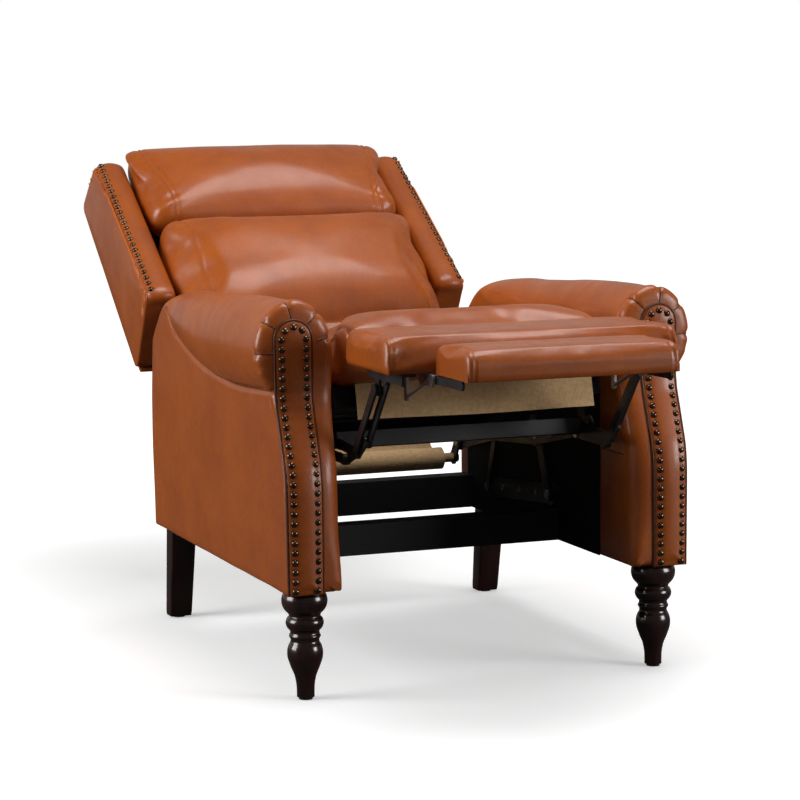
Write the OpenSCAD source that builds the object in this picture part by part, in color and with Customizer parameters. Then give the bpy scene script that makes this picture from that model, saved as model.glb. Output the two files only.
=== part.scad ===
// Wingback recliner with rolled arms, turned front legs and a folding footrest, shown reclined.
// +Z is up, the chair faces -Y and the floor is at z = 0.

/* [Arms] */
// Clear width between the two arms
arm_gap = 500; // [470:2:540]
// Thickness of an arm box
arm_w = 93; // [86:1:110]
// How far the rolled arm top overhangs the outer side
roll_overhang = 27; // [20:1:36]
// How far the front of an arm steps back beside the seat
arm_setback = 43; // [0:1:48]
// Length of an arm from front to back
arm_depth = 743; // [720:1:770]
// Height of the arm roll above the floor
arm_top = 629; // [600:1:650]
// Height of the underside of the arms above the floor
arm_bottom = 173; // [150:1:190]
// Height of the arm where it ends at the rear
arm_rear_top = 521; // [500:1:540]
// Thickness of the padded front panel of an arm
panel_t = 6; // [3:0.5:8]
// Thickness of the wooden side panel inside an arm
arm_board_t = 22; // [16:1:28]

/* [Base] */
// Height of the bottom rail inside an arm
sill_h = 40; // [30:1:50]
// Depth of the rails that join the arms
rail_depth = 40; // [30:1:44]
// Height of the rear rail
rear_rail_h = 60; // [40:1:62]
// Height of the middle rail
middle_rail_h = 52; // [40:1:54]
// Thickness of the black lining on the inner side of an arm
lining_t = 2; // [1:0.5:3]

/* [Legs] */
// Largest radius of a turned front leg
front_leg_r = 36; // [30:0.5:40]
// Width of a rear leg at the top
rear_leg_w = 46; // [38:1:52]
// How far a rear leg rakes back over its height
rear_leg_rake = 28; // [0:1:36]
// Height of a glide under a leg
glide_h = 3; // [2:0.5:6]
// Radius of a glide
glide_r = 11; // [8:0.5:13]
// Radius of the bolt that holds a leg
leg_bolt_r = 4; // [3:0.5:5]

/* [Seat] */
// Tilt of the seat in the reclined position, in degrees
seat_tilt = 13.5; // [12:0.5:14]
// Length of the seat cushion along its slope
seat_len = 600; // [570:5:605]
// Thickness of the seat cushion at its crest
seat_h = 130; // [100:1:132]
// Depth of the wooden seat frame
seat_frame_h = 34; // [26:1:36]
// Width of the rails of the seat frame
seat_rail_w = 34; // [26:1:44]
// Number of slats in the seat frame
seat_slats = 4; // [4:1:6]
// Height of the cloth that hangs under the seat front
front_cloth_h = 62; // [44:1:64]

/* [Back] */
// Slope of the back above the horizontal in the reclined position, in degrees
back_tilt = 32.6; // [31:0.2:34]
// Length of a wing along its front edge
wing_len = 421; // [400:1:440]
// Width of a wing seen from the front
wing_w = 58; // [50:1:64]
// Depth of a wing at its lower end
wing_depth = 169; // [150:1:175]
// Length of the lumbar cushion
lumbar_len = 336; // [310:2:340]
// Length of the head pillow
pillow_len = 258; // [230:2:262]
// Thickness of the lumbar cushion
lumbar_h = 100; // [80:1:106]
// Thickness of the head pillow
pillow_h = 114; // [84:1:116]
// Width of the posts of the back frame
back_post_w = 42; // [34:1:60]
// Number of slats in the back frame
back_slats = 4; // [4:1:6]
// Thickness of the outside back panel
back_panel_t = 4; // [3:0.5:6]

/* [Footrest] */
// Length of the main footrest pad from back to front
pad_len = 190; // [176:1:194]
// Thickness of the main footrest pad
pad_h = 44; // [34:1:48]
// Half width of the main footrest pad
pad_half_w = 246; // [225:1:247]
// Thickness of the boards under the footrest pads
board_t = 12; // [9:0.5:14]
// Length of the front footrest pad
flipper_len = 136; // [110:1:140]
// Half width of the front footrest pad
flipper_half_w = 172; // [150:1:180]
// Thickness of the front footrest pad
flipper_h = 35; // [28:1:38]

/* [Mechanism] */
// Thickness of the steel plates and links
steel_t = 4; // [3:0.25:4]
// Gap between neighbouring steel layers
layer_gap = 2; // [2:0.1:2.6]
// Half width of a link at its eyes
link_r = 9; // [8:0.25:9.5]
// Width of a link between its eyes, as a share of the eyes
waist_share = 0.86; // [0.7:0.02:0.94]
// Radius of the rivets
rivet_r = 4.5; // [3.5:0.25:5]
// Radial clearance of a rivet in its bore
pivot_clearance = 0.05; // [0.03:0.01:0.1]
// Width of the square drive tube
tube_w = 25; // [20:1:26]
// Wall of the square drive tube
tube_wall = 2; // [1.5:0.25:3]
// Length of the rear link
rear_link_len = 112; // [108:1:118]
// Length of the lower footrest link
lower_link_len = 116; // [114:0.5:118]
// Wire radius of a return spring
spring_wire_r = 1.2; // [0.8:0.1:1.4]
// Coil radius of a return spring
spring_coil_r = 6.5; // [5:0.25:8]
// Number of coils in a return spring
spring_turns = 24; // [12:1:26]

/* [Hidden] */
round_fn = 48;
left = -1;
right = 1;
overrun = 1;
fit_gap = 0.3;
side_clearance = 0.2;
head_t = 1.5;
head_r = 8;
collar_r = 8;

// places in the side view are [y, z], with y = 0 near the middle of the seat
arm_front_y = -400;
arm_rear_y = arm_front_y + arm_depth;
inner_x = arm_gap / 2;
outer_x = inner_x + arm_w;
board_inset = 12;
sill_w = arm_w - 2 * board_inset;
front_leg_share = 0.57;
front_leg_gap = 3;
rear_leg_share = 0.54;
rear_leg_inset = 20;
front_leg_pos = [inner_x + front_leg_share * arm_w, arm_front_y + front_leg_r + front_leg_gap];
rear_leg_pos = [inner_x + rear_leg_share * arm_w, arm_rear_y - rear_leg_inset];
rear_leg_d = 38;
middle_rail_y = -105;
rear_rail_inset = 58;
rear_rail_y = arm_rear_y - rear_rail_inset;
lining_front = 130;
lining_rear = 40;
lining_top_gap = 68;

// steel layers are numbered from the arm inwards
layer_pitch = steel_t + layer_gap;
mount_layer = 0;
swing_layer = 1;
seat_layer = 2;
tail_layer = 3;
upper_layer = 4;
lower_layer = 5;
twin_layer = 6;
function layer_out(k) = inner_x - lining_t - k * layer_pitch;
function layer_in(k) = layer_out(k) - steel_t;

function turned(p, a) = [p[0] * cos(a) - p[1] * sin(a), p[0] * sin(a) + p[1] * cos(a)];
function polar(p, len, a) = [p[0] + len * cos(a), p[1] + len * sin(a)];

// pivots of the seat motion
rear_base_pivot = [189, 225];
rear_link_angle = 110.4;
rear_seat_pivot = polar(rear_base_pivot, rear_link_len, rear_link_angle);
front_base_pivot = [-79, 250];
front_link_len = 103.6;
front_link_angle = 67.9;
front_seat_pivot = polar(front_base_pivot, front_link_len, front_link_angle);
front_hole_clearance = 4;
back_pivot = [304, 295];

// pivots of the footrest motion
drive_pivot = [-262, 392];
lower_link_angle = 182.5;
lower_end_pivot = polar(drive_pivot, lower_link_len, lower_link_angle);
upper_link_len = 144.3;
upper_link_angle = 129.7;
pad_pivot = polar(lower_end_pivot, upper_link_len, upper_link_angle);
twin_offset = [-30, 20];
twin_base_pivot = lower_end_pivot + twin_offset;
twin_pad_pivot = pad_pivot + twin_offset;
tail_offset = [31.9, -12.9];
tail_end_pivot = lower_end_pivot + tail_offset;
tail_seat_pivot = [-225.3, 374.8];
tail_hole_clearance = 1.9;
journal_r = 7;
small_eye_share = 0.667;
small_eye_r = link_r * small_eye_share;

// seat slope: u runs back along the seat, w stands square to it, both from the drive pivot
function seat_at(u, w) = drive_pivot + turned([u, w], -seat_tilt);
cushion_front_u = -138;
cushion_w = 80;
cushion_side_gap = 3;
cushion_half_w = inner_x - cushion_side_gap;
seat_edge_r = 34;
seat_crown = 24;
seat_fall_share = 0.2;
frame_front_u = -64;
frame_rear_u = 442;
frame_half_w = layer_in(seat_layer) - fit_gap;
ear_places = [22, 226];
front_cloth_u = -93;
front_cloth_t = 2;
front_cloth_half_w = 204;
seat_plate_r = 17;

// back slope: t runs up the back, n stands square to it to the front, both from the wing's heel
wing_heel = [472, 574];
function back_at(t, n) = wing_heel + turned([t, n], back_tilt);
wing_side_gap = 6;
wing_inner_x = inner_x + wing_side_gap;
wing_outer_x = wing_inner_x + wing_w;
wing_edge = 9;
wing_top_rise = 38;
wing_heel_drop = 8;
wing_top_depth = 128;
cushion_back_n = -42;
lumbar_low_t = -160;
crease_gap = 5;
back_half_w = inner_x - cushion_side_gap;
back_edge_r = 30;
back_crown = 24;
frame_n = cushion_back_n - fit_gap;
frame_depth = 46;
frame_low_t = -186;
frame_top_gap = 6;
frame_high_t = wing_len - frame_top_gap;
back_frame_half_w = layer_in(tail_layer) - fit_gap;
wing_slat_t = 90;
bracket_foot = [-150, -70];
bracket_head = [40, -70];
bracket_r = 13;
tail_bar_r = 20;
tail_core_r = 9;
tail_bar_pos = [-292, -183.5];
tail_half_w = 203;
tail_sheet_t = 3;

// footrest heights and places
pad_rear_y = -390;
pad_bottom = 542;
pad_front_y = pad_rear_y - pad_len;
board_half_w = 203;
board_inset_y = 6;
board_bottom = pad_bottom - board_t;
pad_edge_r = 20;
pad_crown = 8;
flange_t = 4;
flange_spans = [[-576, -536], [-466, -426]];
flipper_gap = 10;
flipper_rear_y = pad_front_y - flipper_gap;
flipper_front_y = flipper_rear_y - flipper_len;
flipper_lift = 1;
flipper_bottom = pad_bottom + flipper_lift;
flipper_board_bottom = flipper_bottom - board_t;
flipper_pivot_out = 6;
flipper_pivot_drop = 8;
flipper_pivot = [pad_front_y - flipper_pivot_out, board_bottom - flipper_pivot_drop];
flipper_side_gap = 1;
flipper_support_x = flipper_half_w + flipper_side_gap;
flipper_bracket_x = flipper_support_x - steel_t - side_clearance - head_t - fit_gap;
flipper_hinge_r = 7.5;
rod_r = 3;
rod_rear = [-483, 485];
rod_carrier_r = 6;

// return springs
spring_x = layer_in(twin_layer) - steel_t;
spring_hook_angle = -30;
spring_front_hook = polar(drive_pivot, tube_w, spring_hook_angle);
spring_rear_hook = [-10, 350];
spring_pin_r = 3;
spring_coil_share = 0.72;

y_front = flipper_front_y;
back_corner = back_at(wing_len + wing_top_rise, -wing_top_depth - back_panel_t);
y_shift = -(y_front + back_corner[0]) / 2;

// joint places in the finished frame, as [y, z]
echo(y_shift = y_shift);
echo(joint_rear_link = rear_base_pivot + [y_shift, 0]);
echo(joint_front_link = front_base_pivot + [y_shift, 0]);
echo(joint_seat = rear_seat_pivot + [y_shift, 0]);
echo(joint_back = back_pivot + [y_shift, 0]);
echo(joint_footrest = drive_pivot + [y_shift, 0]);
echo(joint_upper_link = lower_end_pivot + [y_shift, 0]);
echo(joint_twin_link = twin_base_pivot + [y_shift, 0]);
echo(joint_tail_link = tail_seat_pivot + [y_shift, 0]);
echo(joint_pad = pad_pivot + [y_shift, 0]);
echo(joint_flipper = flipper_pivot + [y_shift, 0]);
echo(front_leg_place = front_leg_pos);
echo(rear_foot_place = rear_leg_pos + [0, rear_leg_rake]);
echo(open_front = front_seat_pivot + [y_shift, 0]);
echo(open_tail = tail_end_pivot + [y_shift, 0]);
echo(open_twin = twin_pad_pivot + [y_shift, 0]);

// Helpers
module in_place() {
    translate([0, y_shift, 0]) children();
}

module on_side(s) {
    mirror([s < 0 ? 1 : 0, 0, 0]) children();
}

// A flat shape drawn in [y, z], thickened to the right from x0
module slab(x0, t) {
    translate([x0, 0, 0]) rotate([90, 0, 90]) linear_extrude(t) children();
}

// A round pin along x between x0 and x1
module pin(p, r, x0, x1) {
    translate([x0, p[0], p[1]]) rotate([0, 90, 0]) cylinder(r = r, h = x1 - x0, $fn = round_fn);
}

module circle_at(p, r) {
    translate(p) circle(r, $fn = round_fn);
}

// A straight strap from a to b, a little narrower than the eyes of radius r at its ends
module strap_2d(a, b, r) {
    half = r * waist_share;
    translate(a) rotate(atan2(b[1] - a[1], b[0] - a[0])) translate([0, -half])
        square([norm(b - a), 2 * half]);
}

// Eyes at the points, joined by straps
module chain_2d(points, r) {
    for (p = points) circle_at(p, r);
    for (i = [0 : len(points) - 2]) strap_2d(points[i], points[i + 1], r);
}

module bar_2d(a, b, r) {
    chain_2d([a, b], r);
}

// A bore through one steel layer
module bore(p, r, layer) {
    pin(p, r, layer_in(layer) - layer_gap / 2, layer_out(layer) + layer_gap / 2);
}

// A rivet from one layer to another: shank, collar between the two and a head beyond the second
module rivet(p, from_layer, to_layer, collar = collar_r, head = head_r) {
    inward = to_layer > from_layer;
    x_start = inward ? layer_out(from_layer) : layer_in(from_layer);
    x_near = inward ? layer_in(from_layer) : layer_out(from_layer);
    x_far = inward ? layer_out(to_layer) + side_clearance : layer_in(to_layer) - side_clearance;
    x_head = inward ? layer_in(to_layer) - side_clearance : layer_out(to_layer) + side_clearance;
    x_end = inward ? x_head - head_t : x_head + head_t;
    pin(p, rivet_r, min(x_start, x_end), max(x_start, x_end));
    pin(p, collar, min(x_near, x_far), max(x_near, x_far));
    pin(p, head, min(x_head, x_end), max(x_head, x_end));
}

// A closed skin over rings of equal point counts, with triangles only
function mean_of(ring) = [for (axis = [0 : 2]) let (sum = [for (i = 0, s = 0; i <= len(ring);
    s = s + (i < len(ring) ? ring[i][axis] : 0), i = i + 1) s]) sum[len(ring)] / len(ring)];

module loft(rings) {
    count = len(rings[0]);
    last = len(rings) - 1;
    points = concat([for (ring = rings) each ring], [mean_of(rings[0]), mean_of(rings[last])]);
    first_centre = count * len(rings);
    walls = [for (k = [0 : last - 1], i = [0 : count - 1])
        let (j = (i + 1) % count, a = k * count, b = a + count)
            each [[a + i, b + i, a + j], [a + j, b + i, b + j]]];
    first_cap = [for (i = [0 : count - 1]) [first_centre, i, (i + 1) % count]];
    last_cap = [for (i = [0 : count - 1])
        [first_centre + 1, last * count + (i + 1) % count, last * count + i]];
    polyhedron(points = points, faces = concat(walls, first_cap, last_cap), convexity = 6);
}

// A rounded rectangle with half sides a and b, as a ring at height z
corner_power = 7;
middle_power = 3;
ring_count = 44;
function signed_power(v, p) = sign(v) * pow(abs(v), p);
function ring_at(a, b, z, fall, power, half_l) = [for (i = [0 : ring_count - 1]) let (
    t = -360 * i / ring_count,
    x = a * signed_power(cos(t), 2 / power), y = b * signed_power(sin(t), 2 / power))
    [x, y, z * (1 - fall * (1 + y / half_l) / 2)]];

// A cushion on the plane z = 0: a flat base, swelling sides and a crowned top
edge_steps = 5;
crown_inset_shares = [0.2, 0.42, 0.68, 0.9];
module cushion(half_w, half_l, h, edge, crown, fall = 0) {
    side_h = h - crown;
    sides = [for (i = [0 : edge_steps]) let (a = -90 + 180 * i / edge_steps)
        ring_at(half_w - edge * (1 - cos(a)) / 2, half_l - edge * (1 - cos(a)) / 2,
            side_h * (1 + sin(a)) / 2, fall * (1 + sin(a)) / 2, corner_power, half_l)];
    core_w = half_w - edge / 2;
    core_l = half_l - edge / 2;
    tops = [for (s = crown_inset_shares)
        ring_at(core_w - s * (core_w - crown), core_l - s * (core_l - crown),
            side_h + crown * (1 - pow(1 - s, 2)), fall,
            corner_power - s * (corner_power - middle_power), half_l)];
    loft(concat(sides, tops));
}

// Arms
// stations along the arm as shares of its depth, then the top, the seam under the roll
// and the overhang as shares of their full values
arm_station_shares = [-0.004, 0.058, 0.066, 0.09, 0.17, 0.36, 0.54, 0.65, 0.71, 0.77, 0.82, 0.87, 0.91, 0.95,
    0.985, 1];
arm_top_shares = [0.86, 0.86, 0.93, 0.96, 0.96, 0.93, 0.84, 0.80, 0.79, 0.76, 0.73, 0.67, 0.56, 0.34,
    0.12, 0];
arm_seam_shares = [0.37, 0.37, 0.35, 0.33, 0.31, 0.27, 0.35, 0.5, 0.6, 0.73, 0.86, 1.14, 1.03, 0.81,
    0.6, 0.47];
arm_over_shares = [0.8, 0.8, 0.93, 1, 1, 0.96, 0.86, 0.72, 0.55, 0.36, 0.14, 0, 0, 0, 0, 0];
arm_seam_low_share = 0.34;
roll_points = 14;
function arm_ring(i) = let (
    y = arm_front_y + arm_station_shares[i] * arm_depth,
    rise = arm_top - arm_rear_top,
    top = arm_rear_top + arm_top_shares[i] * rise,
    over = roll_overhang * arm_over_shares[i],
    seam = arm_rear_top + (arm_seam_shares[i] - 2 * arm_seam_low_share) * rise,
    half = (arm_w + over) / 2,
    mid = inner_x + half,
    dip = sqrt(1 - pow((outer_x - mid) / half, 2)),
    tall = (top - seam) / (1 + dip),
    centre = top - tall,
    start = -asin(dip))
    concat([[inner_x, y, arm_bottom], [outer_x, y, arm_bottom], [outer_x, y, (arm_bottom + seam) / 2]],
        [for (k = [0 : roll_points]) let (a = start + (180 - start) * k / roll_points)
            [mid + half * cos(a), y, centre + tall * sin(a)]],
        [[inner_x, y, (arm_bottom + centre) / 2]]);

// the arm's front seen from the side: it steps back between the sill and the roll
front_height_shares = [-0.05, 0.3, 0.37, 0.434, 0.5, 0.564, 0.63, 0.68, 1.1];
front_step_shares = [0, 0, 0.03, 0.14, 0.39, 0.64, 0.9, 1, 1];
function backwards(points) = [for (i = [len(points) - 1 : -1 : 0]) points[i]];
function front_edge(inset) = [for (i = [0 : len(front_height_shares) - 1])
    [arm_front_y + inset + arm_setback * front_step_shares[i],
        arm_bottom + (arm_top - arm_bottom) * front_height_shares[i]]];

// All that lies before the arm's front, with the front moved back by the inset
module before_front(inset) {
    edge = front_edge(inset);
    y_far = arm_front_y - arm_w;
    slab(inner_x - arm_w, 3 * arm_w)
        polygon(concat([[y_far, edge[0][1]]], edge, [[y_far, edge[len(edge) - 1][1]]]));
}

module arm_board_shape(gap) {
    board_front = arm_front_y + board_inset / 2;
    board_l = arm_depth - 1.5 * board_inset;
    board_top = arm_rear_top - 2 * board_inset;
    below = gap > 0 ? overrun : 0;
    difference() {
        translate([inner_x + board_inset - gap, board_front, arm_bottom - below]) union() {
            cube([arm_board_t + 2 * gap, board_l + gap, board_top - arm_bottom + gap + below]);
            cube([sill_w + 2 * gap, board_l + gap, sill_h + gap + below]);
        }
        before_front(board_inset - gap);
    }
}

leg_bolt_share = 1.8;
module leg_bolt_at(p, extra) {
    translate([p[0], p[1], arm_bottom - sill_h])
        cylinder(r = leg_bolt_r + extra, h = leg_bolt_share * sill_h + extra, $fn = round_fn);
}

module arm_frame(s) {
    color("#9a7a50") in_place() on_side(s) difference() {
        arm_board_shape(0);
        leg_bolt_at(front_leg_pos, pivot_clearance);
        leg_bolt_at(rear_leg_pos, pivot_clearance);
        screw_bores();
    }
}

module arm_cover(s) {
    color("#b06a35") in_place() on_side(s) difference() {
        loft([for (i = [0 : len(arm_station_shares) - 1]) arm_ring(i)]);
        before_front(0);
        arm_board_shape(fit_gap);
        screw_bores();
    }
}

// the padded front panel: heights, then its two edges, as shares
panel_height_shares = [0, 0.69, 0.87, 0.93, 0.955, 0.98, 0.993, 1];
panel_outer_shares = [0.97, 0.99, 1, 1, 0.98, 0.915, 0.83, 0.73];
panel_inner_shares = [0.39, 0.37, 0.37, 0.38, 0.4, 0.465, 0.55, 0.65];
panel_top_share = 0.93;
module arm_front_panel(s) {
    panel_h = (arm_top - arm_bottom) * panel_top_share;
    outer_edge = [for (i = [0 : len(panel_height_shares) - 1])
        [inner_x + arm_w * panel_outer_shares[i], arm_bottom + panel_h * panel_height_shares[i]]];
    inner_edge = [for (i = [len(panel_height_shares) - 1 : -1 : 0])
        [inner_x + arm_w * panel_inner_shares[i], arm_bottom + panel_h * panel_height_shares[i]]];
    color("#b8733b") in_place() on_side(s) intersection() {
        translate([0, arm_front_y + 2 * arm_setback, 0]) rotate([90, 0, 0])
            linear_extrude(2 * arm_setback + 2 * panel_t) polygon(concat(outer_edge, inner_edge));
        slab(inner_x, 2 * arm_w) polygon(concat(front_edge(0), backwards(front_edge(-panel_t))));
    }
}

module rail_space(gap) {
    for (rail = [[middle_rail_y, middle_rail_h], [rear_rail_y, rear_rail_h]])
        translate([-inner_x, rail[0] - gap, arm_bottom - (gap > 0 ? overrun : 0)])
            cube([2 * inner_x, rail_depth + 2 * gap, rail[1] + gap + (gap > 0 ? overrun : 0)]);
}

module inner_lining(s) {
    lining_y = arm_front_y + lining_front;
    color("#1d1b1a") in_place() on_side(s) difference() {
        translate([inner_x - lining_t, lining_y, arm_bottom])
            cube([lining_t, arm_depth - lining_front - lining_rear, arm_top - lining_top_gap - arm_bottom
                - (arm_top - arm_rear_top) / 2]);
        rail_space(fit_gap);
        screw_bores();
    }
}

// Legs
// heights and radii of the turned leg as shares of its length and of its largest radius
turning_height_shares = [0, 0.15, 0.28, 0.4, 0.52, 0.57, 0.61, 0.69, 0.77, 0.86, 0.93, 0.95, 1];
turning_radius_shares = [0.38, 0.44, 0.6, 0.76, 0.61, 0.7, 0.68, 0.82, 0.68, 0.9, 1, 0.93, 0.95];
turning_steps = 4;
module front_leg(s) {
    length = arm_bottom - glide_h;
    last = len(turning_height_shares) - 1;
    edge = [for (i = [0 : last - 1], k = [0 : turning_steps - 1]) let (
        f = k / turning_steps,
        ease = (1 - cos(180 * f)) / 2,
        h = turning_height_shares[i] + f * (turning_height_shares[i + 1] - turning_height_shares[i]),
        r = turning_radius_shares[i] + ease * (turning_radius_shares[i + 1] - turning_radius_shares[i]))
        [front_leg_r * r, glide_h + length * h]];
    outline = concat([[0, glide_h]], edge,
        [[front_leg_r * turning_radius_shares[last], arm_bottom], [0, arm_bottom]]);
    color("#3a2116") in_place() on_side(s) difference() {
        translate([front_leg_pos[0], front_leg_pos[1], 0]) rotate_extrude($fn = round_fn) polygon(outline);
        leg_bolt_at(front_leg_pos, pivot_clearance);
    }
}

rear_leg_foot_share = 0.86;
module rear_leg(s) {
    foot_w = rear_leg_w * rear_leg_foot_share;
    foot_d = rear_leg_d * rear_leg_foot_share;
    y_top = rear_leg_pos[1] - rear_leg_d / 2;
    y_foot = rear_leg_pos[1] + rear_leg_rake - foot_d / 2;
    color("#3a2116") in_place() on_side(s) difference() {
        intersection() {
            slab(rear_leg_pos[0] - rear_leg_w / 2, rear_leg_w)
                polygon([[y_top, arm_bottom], [y_foot, glide_h], [y_foot + foot_d, glide_h],
                    [y_top + rear_leg_d, arm_bottom]]);
            translate([rear_leg_pos[0], y_top - overrun, 0]) rotate([-90, 0, 0]) mirror([0, 1, 0])
                linear_extrude(rear_leg_d + rear_leg_rake + 2 * overrun)
                    polygon([[-rear_leg_w / 2, arm_bottom], [-foot_w / 2, glide_h], [foot_w / 2, glide_h],
                        [rear_leg_w / 2, arm_bottom]]);
        }
        leg_bolt_at(rear_leg_pos, pivot_clearance);
    }
}

module leg_bolts() {
    color("#8c8c8c") in_place() for (s = [left, right]) on_side(s) {
        leg_bolt_at(front_leg_pos, 0);
        leg_bolt_at(rear_leg_pos, 0);
    }
}

module leg_glides() {
    color("#202020") in_place() for (s = [left, right]) on_side(s) {
        translate([front_leg_pos[0], front_leg_pos[1], 0]) cylinder(r = glide_r, h = glide_h, $fn = round_fn);
        translate([rear_leg_pos[0], rear_leg_pos[1] + rear_leg_rake, 0])
            cylinder(r = glide_r, h = glide_h, $fn = round_fn);
    }
}

// Fixed rails and plates
module rail(y, h) {
    color("#201c19") in_place() translate([-inner_x, y, arm_bottom]) cube([2 * inner_x, rail_depth, h]);
}

module rear_rail() {
    rail(rear_rail_y, rear_rail_h);
}

module middle_rail() {
    rail(middle_rail_y, middle_rail_h);
}

screw_r = 2.5;
screw_head_r = 5.5;
screw_place_shares = [0.22, 0.5, 0.78];
mounting_plate_r = 20;
function screw_at(f) = front_base_pivot + f * (rear_base_pivot - front_base_pivot);
screw_end_gap = 3;
screw_tip_x = inner_x + board_inset + arm_board_t - screw_end_gap;

module screw_bores() {
    for (f = screw_place_shares) pin(screw_at(f), screw_r + pivot_clearance, layer_in(mount_layer) - overrun,
        screw_tip_x + pivot_clearance);
}

module mounting_plate(s) {
    color("#1b1b1d") in_place() on_side(s) difference() {
        slab(layer_in(mount_layer), steel_t) bar_2d(front_base_pivot, rear_base_pivot, mounting_plate_r);
        bore(front_base_pivot, rivet_r + pivot_clearance, mount_layer);
        bore(rear_base_pivot, rivet_r + pivot_clearance, mount_layer);
        screw_bores();
    }
}

module mounting_screws() {
    x_plate = layer_in(mount_layer);
    color("#55565a") in_place() for (s = [left, right]) on_side(s) for (f = screw_place_shares) {
        pin(screw_at(f), screw_r, x_plate - head_t, screw_tip_x);
        pin(screw_at(f), screw_head_r, x_plate - head_t, x_plate);
    }
}

module base_rivets() {
    color("#8f9196") in_place() for (s = [left, right]) on_side(s) {
        rivet(front_base_pivot, mount_layer, swing_layer);
        rivet(rear_base_pivot, mount_layer, swing_layer);
    }
}

// Seat motion links
module link(s, layer, a, b, r_a, r_b) {
    color("#232326") in_place() on_side(s) difference() {
        slab(layer_in(layer), steel_t) bar_2d(a, b, max(link_r, r_a + link_r / 2, r_b + link_r / 2));
        bore(a, r_a, layer);
        bore(b, r_b, layer);
    }
}

module rear_link(s) {
    link(s, swing_layer, rear_base_pivot, rear_seat_pivot, rivet_r + pivot_clearance,
        rivet_r + pivot_clearance);
}

module front_link(s) {
    link(s, swing_layer, front_base_pivot, front_seat_pivot, rivet_r + pivot_clearance,
        rivet_r + front_hole_clearance);
}

// Seat
module seat_plate(s) {
    color("#2a2a2e") in_place() on_side(s) difference() {
        slab(layer_in(seat_layer), steel_t) {
            chain_2d([drive_pivot, front_seat_pivot, rear_seat_pivot, back_pivot], seat_plate_r);
            for (u = ear_places) {
                strap_2d(seat_at(u, 0), seat_at(u, frame_w + seat_frame_h / 2), seat_plate_r);
                circle_at(seat_at(u, frame_w + seat_frame_h / 2), seat_plate_r);
            }
        }
        bore(drive_pivot, journal_r + pivot_clearance, seat_layer);
        for (p = [tail_seat_pivot, front_seat_pivot, rear_seat_pivot, back_pivot, spring_rear_hook])
            bore(p, (p == spring_rear_hook ? spring_pin_r : rivet_r) + pivot_clearance, seat_layer);
    }
}

frame_w = cushion_w - seat_frame_h - fit_gap;
open_head_r = 13;
module seat_rivets() {
    color("#8f9196") in_place() for (s = [left, right]) on_side(s) {
        rivet(rear_seat_pivot, seat_layer, swing_layer);
        rivet(front_seat_pivot, seat_layer, swing_layer, open_head_r, open_head_r);
        rivet(tail_seat_pivot, seat_layer, tail_layer);
        rivet(back_pivot, seat_layer, tail_layer);
        pin(spring_rear_hook, spring_pin_r, spring_x - 2 * spring_pin_r, layer_out(seat_layer));
    }
}

// the seat's own axes: x across, y along u, z along w
module on_seat(u, w) {
    p = seat_at(u, w);
    translate([0, p[0], p[1]]) rotate([-seat_tilt, 0, 0]) children();
}

module seat_frame() {
    length = frame_rear_u - frame_front_u;
    pitch = (length - seat_rail_w) / (seat_slats + 1);
    color("#a5824f") in_place() on_seat(frame_front_u, frame_w) {
        for (s = [left, right]) translate([s * (frame_half_w - seat_rail_w / 2) - seat_rail_w / 2, 0, 0])
            cube([seat_rail_w, length, seat_frame_h]);
        for (i = [0 : seat_slats + 1]) {
            at_end = i == 0 || i == seat_slats + 1;
            slat_h = at_end ? seat_frame_h : seat_frame_h / 2;
            translate([-frame_half_w, i * pitch, seat_frame_h - slat_h])
                cube([2 * frame_half_w, seat_rail_w, slat_h]);
        }
    }
}

module seat_cushion() {
    color("#b06a35") in_place() on_seat(cushion_front_u + seat_len / 2, cushion_w)
        cushion(cushion_half_w, seat_len / 2, seat_h, seat_edge_r, seat_crown, seat_fall_share);
}

module seat_front_cloth() {
    color("#a08a63") in_place() on_seat(front_cloth_u, cushion_w - fit_gap - front_cloth_h)
        translate([-front_cloth_half_w, -front_cloth_t / 2, 0])
            cube([2 * front_cloth_half_w, front_cloth_t, front_cloth_h]);
}

// A return spring: one wire with a hook leg, a coil and a second leg
curl_points = 8;
wire_sides = 6;
function spring_path() = let (
    gap = norm(spring_rear_hook - spring_front_hook) - 2 * (spring_pin_r + fit_gap),
    coil = gap * spring_coil_share,
    lead = gap - coil,
    steps = spring_turns * curl_points)
    concat([[0, 0, 0], [0, lead / 2, 0]],
        [for (i = [0 : steps]) let (a = 360 * i / curl_points, grow = min(1, i / curl_points,
            (steps - i) / curl_points)) [spring_coil_r * grow * sin(a), lead - spring_wire_r * 4
            + coil * i / steps, spring_coil_r * grow * cos(a)]],
        [[0, gap - spring_wire_r, 0], [0, gap, 0]]);
tiny = 0.000001;
wire_reference = [0.31, 0.2, 0.93];
function unit(v) = v / max(norm(v), tiny);
function side_of(d) = unit(cross(d, wire_reference));
module wire(path, r) {
    last = len(path) - 1;
    rings = [for (i = [0 : last]) let (
        d = unit(path[min(i + 1, last)] - path[max(i - 1, 0)]),
        a = side_of(d),
        b = cross(d, a)) [for (k = [0 : wire_sides - 1]) let (t = 360 * k / wire_sides)
            path[i] + r * cos(t) * a + r * sin(t) * b]];
    loft(rings);
}

spring_pitch = norm(spring_rear_hook - spring_front_hook) * spring_coil_share / spring_turns;
echo(least_gap_between_coils = spring_pitch - 2 * spring_wire_r);
module return_spring(s) {
    d = spring_rear_hook - spring_front_hook;
    color("#9a9a9c") in_place() on_side(s)
        translate([spring_x, spring_front_hook[0], spring_front_hook[1]])
            rotate([atan2(d[1], d[0]), 0, 0]) translate([0, spring_pin_r + fit_gap, 0])
                wire(spring_path(), spring_wire_r);
}

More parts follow.
